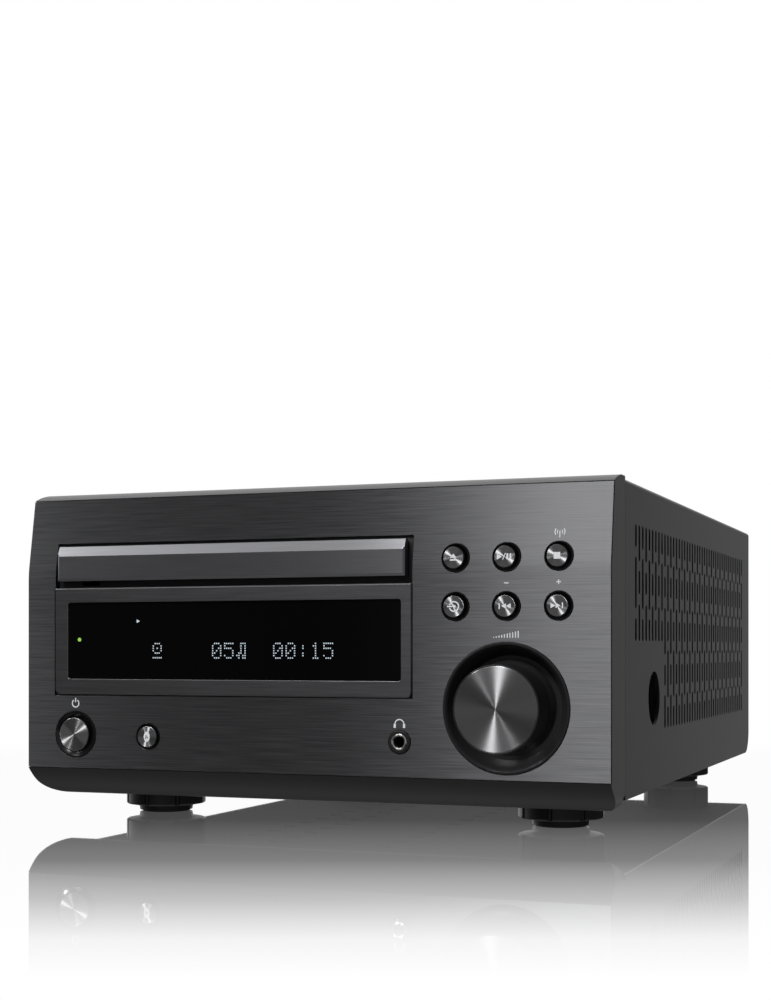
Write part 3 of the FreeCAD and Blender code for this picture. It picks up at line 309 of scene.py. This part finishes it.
HAIRLINE = (45, 0, 2600)
SATIN = (60, 400, 3200)
LOOKS = {
    # front
    "plate": material("brushed_graphite", (0.125, 0.1255, 0.131), 0.47, 1.0, HAIRLINE, 0.3, 3e-6,
                      "along", Anisotropic=1.0),
    "moulding": material("satin_moulding", (0.016, 0.016, 0.0175), 0.36, 0.0, (2500,) * 3, 0.08, 2e-6),
    "satin_frame": material("satin_frame", (0.23, 0.23, 0.24), 0.36, 1.0, SATIN, 0.12, 1e-6,
                            "along", Anisotropic=0.5),
    "door": material("satin_door", (0.36, 0.361, 0.38), 0.3, 1.0, SATIN, 0.08, 1e-6,
                     "along", Anisotropic=0.85),
    "window": material("smoked_acrylic", (0.002, 0.002, 0.0025), 0.04, speckle=0.05),
    "gloss_black": material("gloss_black", (0.007, 0.007, 0.0075), 0.16, speckle=0.1),
    "satin_black": material("satin_black", (0.022, 0.022, 0.0235), 0.3, 0.0, (1800,) * 3, 0.1, 1e-6),
    "spun_metal": spun("spun_metal", (0.42, 0.42, 0.43)),
    # cabinet and feet
    "cover_paint": material("cover_paint", (0.016, 0.0162, 0.0178), 0.38, 0.0, (3000,) * 3, 0.12, 4e-6),
    "zinc_steel": material("zinc_steel", (0.45, 0.46, 0.47), 0.38, 1.0, (90, 1400, 90), 0.12, 2e-6),
    # Painted shade: a darker, less reflective copy of the zinc steel, for the shade under the body.
    "zinc_painted_shade": material("zinc_painted_shade", (0.03, 0.031, 0.033), 0.8, 0.3, (90, 1400, 90), 0.12, 2e-6,
                          Specular_IOR_Level=0.15),
    "panel_paint": material("panel_paint", (0.018, 0.018, 0.019), 0.5, 0.0, (3500,) * 3, 0.15, 5e-6),
    "foot_plastic": material("foot_plastic", (0.02, 0.02, 0.021), 0.38, 0.0, (4000,) * 3, 0.15, 5e-6),
    "rubber": material("rubber", (0.006, 0.006, 0.006), 0.75, 0.0, (2500,) * 3, 0.2, 8e-6),
    "screw_steel": material("black_oxide", (0.03, 0.03, 0.032), 0.35, 0.8, (1500,) * 3, 0.2, 2e-6),
    # disc loader
    "bright_steel": material("bright_steel", (0.55, 0.55, 0.56), 0.25, 1.0, (300, 1200, 1200), 0.15, 1e-6),
    "moulded_black": material("moulded_black", (0.014, 0.014, 0.015), 0.45, 0.0, (2800,) * 3, 0.15, 5e-6),
    "gear_white": material("acetal_white", (0.72, 0.71, 0.67), 0.4, 0.0, (1200,) * 3, 0.05, 2e-6),
    # power and boards
    "lamination": material("laminations", (0.07, 0.07, 0.075), 0.45, 0.6, (3000, 80, 80), 0.3, 2e-5),
    "winding_wrap": material("winding_tape", (0.008, 0.008, 0.009), 0.3, 0.0, (120, 120, 1400), 0.2, 3e-5),
    "sink_aluminium": material("mill_aluminium", (0.55, 0.56, 0.57), 0.36, 1.0, (1500, 1500, 60), 0.1, 2e-6),
    "chip_epoxy": material("moulded_epoxy", (0.02, 0.02, 0.022), 0.6, 0.0, (3000,) * 3, 0.2, 5e-6),
    "board_green": material("solder_mask", (0.012, 0.09, 0.035), 0.3, 0.0, (700,) * 3, 0.25, 1e-5),
    "capacitor_sleeve": material("capacitor_sleeve", (0.012, 0.015, 0.04), 0.25, 0.0, (500,) * 3, 0.1, 5e-6),
    "cable_grey": material("flat_cable", (0.6, 0.6, 0.58), 0.45, 0.0, (1000, 60, 60), 0.15, 1e-5),
    "tube_glass": material("tube_glass", (0.05, 0.06, 0.065), 0.06, 0.0, (300,) * 3, 0.05),
    # rear
    "terminal_red": material("terminal_red", (0.42, 0.012, 0.01), 0.22, 0.0, (1500,) * 3, 0.08, 2e-6),
    "terminal_black": material("terminal_black", (0.01, 0.01, 0.01), 0.22, 0.0, (1500,) * 3, 0.08, 2e-6),
    "socket_metal": material("nickel_plate", (0.7, 0.69, 0.67), 0.16, 1.0, (900,) * 3, 0.08, 1e-6),
    # prints and lamps
    # Painted glow: the white print gives light of its own, though it is no lamp.
    "print": glowing("white_print_painted_glow", (0.84, 0.85, 0.87), 0.22),
    "dots": glowing("display_dots", (0.62, 0.72, 0.8), 0.4),
    "green_lamp": glowing("green_lamp", (0.3, 0.62, 0.08), 0.5),
}


# ---- CAD nodes: looks and soft edges -----------------------------------------------------

# How far the rays of each key's metal face are turned, as a part of a full circle
FACE_TURNS = {"eject": -0.18, "play": -0.18, "stop": -0.18, "source": -0.105, "previous": -0.105,
              "next": -0.105, "power": 0.083, "pair": -0.028}

# A slot's look has the slot's name, but for these slots and, before them, these nodes
SLOT_LOOKS = {"belt_rubber": "rubber", "pad_rubber": "rubber", "encoder_metal": "bright_steel",
              "led_green": "green_lamp"}
# The chassis pan takes the darker zinc copy: painted shade for the shade under the body.
NODE_LOOKS = {"tray_door": "door", "volume_knob": "satin_black", "knob_ring": "satin_black",
              "chassis_pan": "zinc_painted_shade"}
NODE_LOOKS.update({"button_" + key: "gloss_black" for key in FACE_TURNS})

# The knob and the keys throw no shadow, as under a much broader light
SHADOWLESS = ["volume_knob", "knob_cap", "button_collars"] + ["button_" + key for key in FACE_TURNS]

# Width of the rounded edge on each node that has one
SOFT_EDGES = {"front_plate": 0.08, "front_bezel": 0.15, "display_frame": 0.12, "tray_door": 0.12,
              "top_cover": 0.1, "display_window": 0.12, "volume_knob": 0.15, "disc_tray": 0.3,
              "rear_panel": 0.15, "feet": 0.3, "terminal_block": 0.3, "mains_inlet": 0.3,
              "line_sockets": 0.15, "optical_sockets": 0.2, "aerial_socket": 0.15,
              "phones_socket": 0.1, "button_collars": 0.2, "knob_ring": 0.15}
SHARP_ANGLE = 18
FLAT_ANGLE = 0.4
ROUNDED_ANGLE = 35
JOIN_GAP = 1e-6
FACE_WEIGHT = 90


def smooth_shading():
    """A node group that shades smooth and keeps every edge over SHARP_ANGLE sharp."""
    group = bpy.data.node_groups.new("shade_by_angle", "GeometryNodeTree")
    group.interface.new_socket("Geometry", in_out="INPUT", socket_type="NodeSocketGeometry")
    group.interface.new_socket("Geometry", in_out="OUTPUT", socket_type="NodeSocketGeometry")
    entry = group.nodes.new("NodeGroupInput")
    leave = group.nodes.new("NodeGroupOutput")
    angle = group.nodes.new("GeometryNodeInputMeshEdgeAngle")
    sharp = group.nodes.new("FunctionNodeCompare")
    sharp.operation = "GREATER_THAN"
    sharp.inputs["B"].default_value = math.radians(SHARP_ANGLE)
    edges = group.nodes.new("GeometryNodeSetShadeSmooth")
    edges.domain = "EDGE"
    edges.inputs["Shade Smooth"].default_value = False
    faces = group.nodes.new("GeometryNodeSetShadeSmooth")
    group.links.new(angle.outputs["Unsigned Angle"], sharp.inputs["A"])
    group.links.new(entry.outputs[0], faces.inputs["Geometry"])
    group.links.new(faces.outputs["Geometry"], edges.inputs["Geometry"])
    group.links.new(sharp.outputs["Result"], edges.inputs["Selection"])
    group.links.new(edges.outputs["Geometry"], leave.inputs[0])
    return group


def add_rounding(piece, width):
    """Clear flat facets and round the edges a little."""
    clear = piece.modifiers.new("flatten", "DECIMATE")
    clear.decimate_type = "DISSOLVE"
    clear.angle_limit = math.radians(FLAT_ANGLE)
    rounding = piece.modifiers.new("round", "BEVEL")
    rounding.width = width * MM
    rounding.segments = 2
    rounding.limit_method = "ANGLE"
    rounding.angle_limit = math.radians(ROUNDED_ANGLE)


def soften(node, piece, shading):
    """Modifiers only: join split corners, round the edges, shade by angle."""
    join = piece.modifiers.new("join", "WELD")
    join.merge_threshold = JOIN_GAP
    if node in SOFT_EDGES:
        add_rounding(piece, SOFT_EDGES[node])
    shade = piece.modifiers.new("shade", "NODES")
    shade.node_group = shading
    if node in SOFT_EDGES:
        even = piece.modifiers.new("even_normals", "WEIGHTED_NORMAL")
        even.keep_sharp = True
        even.weight = FACE_WEIGHT


def dress_cad_nodes():
    slots = {row["node"]: row["material_slot"] for row in frame["record"]["subparts"]}
    shading = smooth_shading()
    for node, piece in nodes.items():
        slot = slots[node]
        look = NODE_LOOKS.get(node, SLOT_LOOKS.get(slot, slot))
        piece.data.materials.clear()
        piece.data.materials.append(LOOKS[look])
        soften(node, piece, shading)
    for node in SHADOWLESS:
        nodes[node].visible_shadow = False


# ---- keys and their signs --------------------------------------------------------------

def sign_eject():
    return [[(-1.15, -0.1), (1.15, -0.1), (0.0, 1.25)], bar(-1.15, -0.75, 1.15, -0.75, 0.5)]


def sign_play():
    pause = [bar(x, -0.95, x, 0.95, 0.62) for x in (0.95, 1.95)]
    return [arrow(-1.65, 0.9975), bar(-0.65, -1.0, 0.35, 1.1, 0.28)] + pause


def sign_stop():
    return [[(-1.05, -1.05), (1.05, -1.05), (1.05, 1.05), (-1.05, 1.05)]]


def sign_source():
    head = [(0.0, -0.75), (1.0, 0.0), (0.0, 0.75)]
    return band(0.25, 0, 1.75, 1.32, -165, 165, 22) + [bar(-2.1, 0, 0.2, 0, 0.4), head]


def sign_next():
    return [arrow(-1.2, 0.84), arrow(0.4, 0.84), bar(1.75, -0.9, 1.75, 0.9, 0.42)]


def sign_previous():
    return [[(-x, z) for x, z in outline] for outline in sign_next()]


def sign_power():
    return band(0, 0, 1.5, 1.12, 125, 415, 28) + [bar(0, 0.35, 0, 1.9, 0.36)]


def sign_oval():
    return [[(1.15 * math.cos(a), 1.75 * math.sin(a)) for a in (2 * math.pi * n / 32 for n in range(32))]]


def sign_waves():
    """Three arcs that widen from a dot: a generic sign for a wireless link."""
    waves = [stroke for r in (0.75, 1.35, 1.95) for stroke in band(-0.9, -1.0, r, r - 0.3, 0, 90, 8)]
    return waves + [arc(-0.9, -1.0, 0.32, 0, 360, 12)[:-1]]


KEY_SIGNS = {"eject": sign_eject, "play": sign_play, "stop": sign_stop, "source": sign_source,
             "previous": sign_previous, "next": sign_next}
KEY_RADIUS = 3.6
KEY_RADII = {"power": 5.93, "pair": 3.8}
FACE_TONE = (0.5, 0.5, 0.51)
FACE_INSET = 0.22
FACE_PROUD = 0.08
FACE_EDGE = 0.12
FACE_SUNK = 0.3
WAVES_SCALE = 0.55


def key_face(key):
    """Spun metal disc in front of a cap; returns the depth of its face."""
    x, z = middle("button_" + key)
    cap = node_depth("button_" + key)
    radius = KEY_RADII.get(key, KEY_RADIUS) - FACE_INSET
    proud = cap - FACE_PROUD
    profile = [(0, proud), (radius - FACE_EDGE, proud), (radius, proud + FACE_EDGE),
               (radius, cap + FACE_SUNK), (0, cap + FACE_SUNK)]
    face = turned("face_" + key, profile, x, z)
    face.data.materials.append(spun("spun_" + key, FACE_TONE, FACE_TURNS[key]))
    face.visible_shadow = False
    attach(face, key + "_key")
    return proud


def add_keys():
    for key in FACE_TURNS:
        x, z = middle("button_" + key)
        proud = key_face(key)
        if key in KEY_SIGNS:
            printed("sign_" + key, moved(KEY_SIGNS[key](), x, z), key + "_key", LOOKS["print"], flat(proud))
        if key == "pair":
            printed("pair_oval", moved(sign_oval(), x, z), "pair_key", LOOKS["print"], flat(proud))
            printed("pair_waves", moved(sign_waves(), x, z, WAVES_SCALE), "pair_key", LOOKS["gloss_black"],
                    flat(proud - PRINT_PROUD))


# ---- prints on the plate ---------------------------------------------------------------

# How far each sign lies above the centre of its key, knob or socket
STANDBY_RISE = 10.8
BAND_RISE = 7.0
VOLUME_RISE = 23.4
PHONES_RISE = 6.1
# How far minus and plus lie below the middle between the two rows of keys
MINUS_DROP = 0.45
PLUS_DROP = 0.35


def sign_minus():
    return [bar(-0.75, 0, 0.75, 0, 0.32)]


def sign_plus():
    return [bar(-0.75, 0, 0.75, 0, 0.3), bar(0, 0.15, 0, 0.75, 0.3), bar(0, -0.75, 0, -0.15, 0.3)]


def sign_volume():
    """Ten bars that grow to the right."""
    return [bar(-4.0 + 0.9 * n, -1.1, -4.0 + 0.9 * n, -0.85 + 0.21 * n, 0.34) for n in range(10)]


def sign_phones():
    """A headband with an ear cup at each end."""
    cups = [bar(x, -1.55, x, -0.3, 0.75) for x in (-1.62, 1.62)]
    return band(0, -0.4, 1.75, 1.4, 0, 180, 16) + cups


def sign_aerial():
    """A mast with two waves at each side."""
    waves = [stroke for side in (0, 180) for r in (1.0, 1.75)
             for stroke in band(0, 0.6, r, r - 0.26, side - 38, side + 38, 6)]
    return [bar(0, -1.2, 0, 0.9, 0.26)] + waves


def plate_prints():
    """Generic signs in the places of the function labels."""
    power_x, power_z = middle("button_power")
    stop_x, stop_z = middle("button_stop")
    play_x, play_z = middle("button_play")
    next_x, next_z = middle("button_next")
    knob_x, knob_z = middle("knob_cap")
    jack_x, jack_z = middle("phones_socket")
    row_gap = (play_z + next_z) / 2
    signs = {
        "print_standby": moved(sign_power(), power_x, power_z + STANDBY_RISE),
        "print_minus": moved(sign_minus(), play_x, row_gap - MINUS_DROP),
        "print_plus": moved(sign_plus(), next_x, row_gap - PLUS_DROP),
        "print_volume": moved(sign_volume(), knob_x, knob_z + VOLUME_RISE),
        "print_phones": moved(sign_phones(), jack_x, jack_z + PHONES_RISE),
        "print_band": moved(sign_aerial(), stop_x, stop_z + BAND_RISE),
    }
    for name, outlines in signs.items():
        printed(name, outlines, "chassis", LOOKS["print"])


# ---- display ---------------------------------------------------------------------------

GLYPHS = {
    "0": ["01110", "10001", "10011", "10101", "11001", "10001", "01110"],
    "1": ["00100", "01100", "00100", "00100", "00100", "00100", "01110"],
    "5": ["11111", "10000", "11110", "00001", "00001", "10001", "01110"],
    ":": ["00000", "00100", "00100", "00000", "00100", "00100", "00000"],
    "disc": ["01110", "10001", "10101", "10001", "01110", "00000", "11111"],
    "note": ["00111", "00101", "00101", "00101", "01101", "11011", "01011"],
}
# What each cell of the line shows: a disc, a track number and a time
DISPLAY = {0: "disc", 5: "0", 6: "5", 7: "note", 10: "0", 11: "0", 12: ":", 13: "1", 14: "5"}
CELL_PITCH = 4.55
DOT_PITCH = (0.758, 0.81)
DOT_HALF = 0.21
# From the window's upper left corner, to the right and down
FIRST_DOT = (33.3, 14.2)
PLAY_MARK = (27.4, 6.5)


def glyph_dots(glyph, x, z):
    """The lit dots of a glyph whose first dot is at x, z."""
    dot = [(-DOT_HALF, -DOT_HALF), (DOT_HALF, -DOT_HALF), (DOT_HALF, DOT_HALF), (-DOT_HALF, DOT_HALF)]
    dots = []
    for row, line in enumerate(GLYPHS[glyph]):
        for column, lit in enumerate(line):
            if lit == "1":
                dots += moved([dot], x + column * DOT_PITCH[0], z - row * DOT_PITCH[1])
    return dots


def display_signs():
    """Lit dots of the display and its play mark."""
    low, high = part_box("display_window")
    left = low.x / MM
    top = high.z / MM
    face = flat(node_depth("display_window"))
    dots = []
    for cell, glyph in DISPLAY.items():
        dots += glyph_dots(glyph, left + FIRST_DOT[0] + cell * CELL_PITCH, top - FIRST_DOT[1])
    printed("display_dots", dots, "chassis", LOOKS["dots"], face)
    mark = moved([[(-0.55, -0.6), (0.65, 0.0), (-0.55, 0.6)]], left + PLAY_MARK[0], top - PLAY_MARK[1])
    printed("display_play", mark, "chassis", LOOKS["dots"], face)


# ---- sockets ---------------------------------------------------------------------------

# Outline of the phones ring: radius, and depth from the socket's face
PHONES_RING = [(1.78, 0.6), (1.95, -0.1), (2.3, -0.25), (2.65, -0.1), (2.75, 0.15)]


def phones_ring():
    """Polished contact ring round the phones hole."""
    x, z = middle("phones_socket")
    face = node_depth("phones_socket")
    ring = turned("phones_ring", [(radius, face + depth) for radius, depth in PHONES_RING], x, z)
    ring.data.materials.append(LOOKS["socket_metal"])
    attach(ring, "chassis")


# ---- studio: node helpers ----------------------------------------------------------------

def set_ramp(ramp, stops):
    """Give a colour ramp its (position, grey level) stops."""
    elements = ramp.color_ramp.elements
    while len(elements) < len(stops):
        elements.new(0.5)
    for element, (position, level) in zip(elements, stops):
        element.position = position
        element.color = (level, level, level, 1)


def ranged(tree, value, low, high, stops):
    """A ramp over a value that runs from low to high; returns the ramp's output."""
    span = tree.nodes.new("ShaderNodeMapRange")
    span.inputs["From Min"].default_value = low
    span.inputs["From Max"].default_value = high
    tree.links.new(value, span.inputs["Value"])
    ramp = tree.nodes.new("ShaderNodeValToRGB")
    set_ramp(ramp, stops)
    tree.links.new(span.outputs["Result"], ramp.inputs["Fac"])
    return ramp.outputs["Color"]


def product_plus(tree, first, second, more):
    """Multiply two values and add a third; returns the output."""
    node = tree.nodes.new("ShaderNodeMath")
    node.operation = "MULTIPLY_ADD"
    tree.links.new(first, node.inputs[0])
    tree.links.new(second, node.inputs[1])
    tree.links.new(more, node.inputs[2])
    return node.outputs["Value"]


# ---- studio: camera and floor ------------------------------------------------------------

# The camera's place, from the origin at the front plane, and its lens
CAMERA_AT = Vector((218.95, -482.42, 60.24)) * MM
CAMERA_AZIMUTH = math.radians(20.27)
SENSOR_WIDTH = 36
LENS = 57.55
SHIFT = (-0.030, 0.149)

# How white the floor is, by the distance from the middle of the front along the camera's azimuth
FADE = [(-0.235, 1.0), (-0.197, 0.9), (-0.145, 0.53), (-0.072, 0.2), (0.035, 0.06), (0.2, 0.03),
        (0.36, 0.2), (0.43, 0.53), (0.48, 0.9), (0.52, 1.0)]
FLOOR_RADIUS = 30.0
FLOOR_TINT = 0.97
FLOOR_ROUGHNESS = 0.02


def add_camera():
    """A level camera at the right of the front."""
    data = bpy.data.cameras.new("camera")
    data.sensor_width = SENSOR_WIDTH
    data.lens = LENS
    data.shift_x, data.shift_y = SHIFT
    camera = bpy.data.objects.new("camera", data)
    camera.location = CAMERA_AT + Vector((0, FRONT, 0))
    camera.rotation_euler = (math.radians(90), 0, CAMERA_AZIMUTH)
    scene.collection.objects.link(camera)
    scene.camera = camera


def floor_whiteness(tree):
    """How white the floor is at a place: a ramp along a fixed direction over it."""
    place = tree.nodes.new("ShaderNodeTexCoord")
    along = tree.nodes.new("ShaderNodeVectorMath")
    along.operation = "DOT_PRODUCT"
    along.inputs[1].default_value = (-math.sin(CAMERA_AZIMUTH), math.cos(CAMERA_AZIMUTH), 0)
    tree.links.new(place.outputs["Object"], along.inputs[0])
    nearest = FADE[0][0]
    farthest = FADE[-1][0]
    front = FRONT * math.cos(CAMERA_AZIMUTH)
    stops = [((at - nearest) / (farthest - nearest), level) for at, level in FADE]
    return ranged(tree, along.outputs["Value"], nearest + front, farthest + front, stops)


def floor_material():
    """Mirror under the object that fades to plain white in front of it and behind it."""
    made = bpy.data.materials.new("pale_floor")
    made.use_nodes = True
    tree = made.node_tree
    tree.nodes.remove(tree.nodes["Principled BSDF"])
    mirror = tree.nodes.new("ShaderNodeBsdfGlossy")
    mirror.inputs["Color"].default_value = (FLOOR_TINT, FLOOR_TINT, FLOOR_TINT, 1)
    mirror.inputs["Roughness"].default_value = FLOOR_ROUGHNESS
    white = tree.nodes.new("ShaderNodeEmission")
    blend = tree.nodes.new("ShaderNodeMixShader")
    tree.links.new(floor_whiteness(tree), blend.inputs["Fac"])
    tree.links.new(mirror.outputs["BSDF"], blend.inputs[1])
    tree.links.new(white.outputs["Emission"], blend.inputs[2])
    tree.links.new(blend.outputs["Shader"], tree.nodes["Material Output"].inputs["Surface"])
    return made


def add_floor():
    """The floor, which lights nothing and isn't reflected in the object."""
    bm = bmesh.new()
    bmesh.ops.create_circle(bm, cap_ends=True, segments=96, radius=FLOOR_RADIUS)
    floor = finish_mesh("floor", bm)
    floor.data.materials.append(floor_material())
    floor.visible_diffuse = False
    floor.visible_glossy = False
    floor.visible_shadow = False


# ---- studio: light -----------------------------------------------------------------------

# Levels round the object, from the rear by the left, the front and the right to the rear again
ROUND_LEVELS = [(0.0, 1.0), (0.2, 1.0), (0.27, 0.3), (0.36, 0.04), (0.435, 0.02), (0.46, 0.12), (0.5, 0.3),
                (0.6, 0.2), (0.75, 0.12), (0.955, 0.03), (0.967, 0.06), (0.975, 0.5), (0.982, 1.0)]
# Levels from straight below to straight above: a factor, and a glow that is added below
HEIGHT_LEVELS = [(0.0, 0.05), (0.36, 0.05), (0.42, 1.0), (0.84, 1.0), (0.93, 0.75), (0.97, 0.4), (1.0, 0.3)]
BELOW_LEVELS = [(0.0, 0.22), (0.12, 0.2), (0.22, 0.03), (0.4, 0.0)]
# A bright patch high at the left of the front, round the object and by height
PATCH_ROUND = [(0.33, 0.0), (0.36, 1.8), (0.385, 1.8), (0.4, 0.9), (0.42, 0.12), (0.44, 0.0)]
PATCH_HEIGHT = [(0.76, 0.0), (0.79, 1.0), (0.88, 1.0), (0.91, 0.0)]

# Lamps: direction from the aim, size and power
LAMPS = {"upper_front": ((-0.157, -0.645, 0.747), (0.24, 0.2), 10.5),
         "upper_left": ((-0.67, -0.33, 0.667), (0.12, 0.12), 3),
         "upper_rear": ((0.35, 0.6, 0.72), (0.5, 0.4), 12)}
LAMP_DISTANCE = 1.4
LAMP_AIM = Vector((0, FRONT, 60 * MM))


def add_lamp(name, direction, size, power):
    data = bpy.data.lights.new(name, "AREA")
    data.shape = "RECTANGLE"
    data.size, data.size_y = size
    data.energy = power
    lamp = bpy.data.objects.new(name, data)
    lamp.location = LAMP_AIM + Vector(direction).normalized() * LAMP_DISTANCE
    lamp.rotation_euler = (LAMP_AIM - lamp.location).to_track_quat("-Z", "Y").to_euler()
    scene.collection.objects.link(lamp)


def turn_from_front(tree, split):
    """The angle of a direction round Z, zero at the front and positive to the right."""
    front = tree.nodes.new("ShaderNodeMath")
    front.operation = "MULTIPLY"
    front.inputs[1].default_value = -1.0
    tree.links.new(split.outputs["Y"], front.inputs[0])
    turn = tree.nodes.new("ShaderNodeMath")
    turn.operation = "ARCTAN2"
    tree.links.new(split.outputs["X"], turn.inputs[0])
    tree.links.new(front.outputs["Value"], turn.inputs[1])
    return turn.outputs["Value"]


def surround_level(tree):
    """How bright the studio is in a direction, as the object reflects it."""
    place = tree.nodes.new("ShaderNodeTexCoord")
    split = tree.nodes.new("ShaderNodeSeparateXYZ")
    tree.links.new(place.outputs["Generated"], split.inputs["Vector"])
    turn = turn_from_front(tree, split)
    height = split.outputs["Z"]
    patch = product_plus(tree, ranged(tree, turn, -math.pi, math.pi, PATCH_ROUND),
                         ranged(tree, height, -1.0, 1.0, PATCH_HEIGHT),
                         ranged(tree, height, -1.0, 1.0, BELOW_LEVELS))
    return product_plus(tree, ranged(tree, turn, -math.pi, math.pi, ROUND_LEVELS),
                        ranged(tree, height, -1.0, 1.0, HEIGHT_LEVELS), patch)


def add_world():
    """White to the camera; in reflections bright behind the object and at its left, else darker."""
    world = bpy.data.worlds.new("studio")
    scene.world = world
    world.use_nodes = True
    tree = world.node_tree
    background = tree.nodes["Background"]
    background.inputs["Color"].default_value = (1, 1, 1, 1)
    path = tree.nodes.new("ShaderNodeLightPath")
    level = tree.nodes.new("ShaderNodeMath")
    level.operation = "MAXIMUM"
    tree.links.new(surround_level(tree), level.inputs[0])
    tree.links.new(path.outputs["Is Camera Ray"], level.inputs[1])
    tree.links.new(level.outputs["Value"], background.inputs["Strength"])


def add_studio():
    scene.view_settings.view_transform = "Standard"
    add_world()
    add_camera()
    add_floor()
    for name, (direction, size, power) in LAMPS.items():
        add_lamp(name, direction, size, power)


dress_cad_nodes()
add_keys()
plate_prints()
display_signs()
phones_ring()
add_studio()
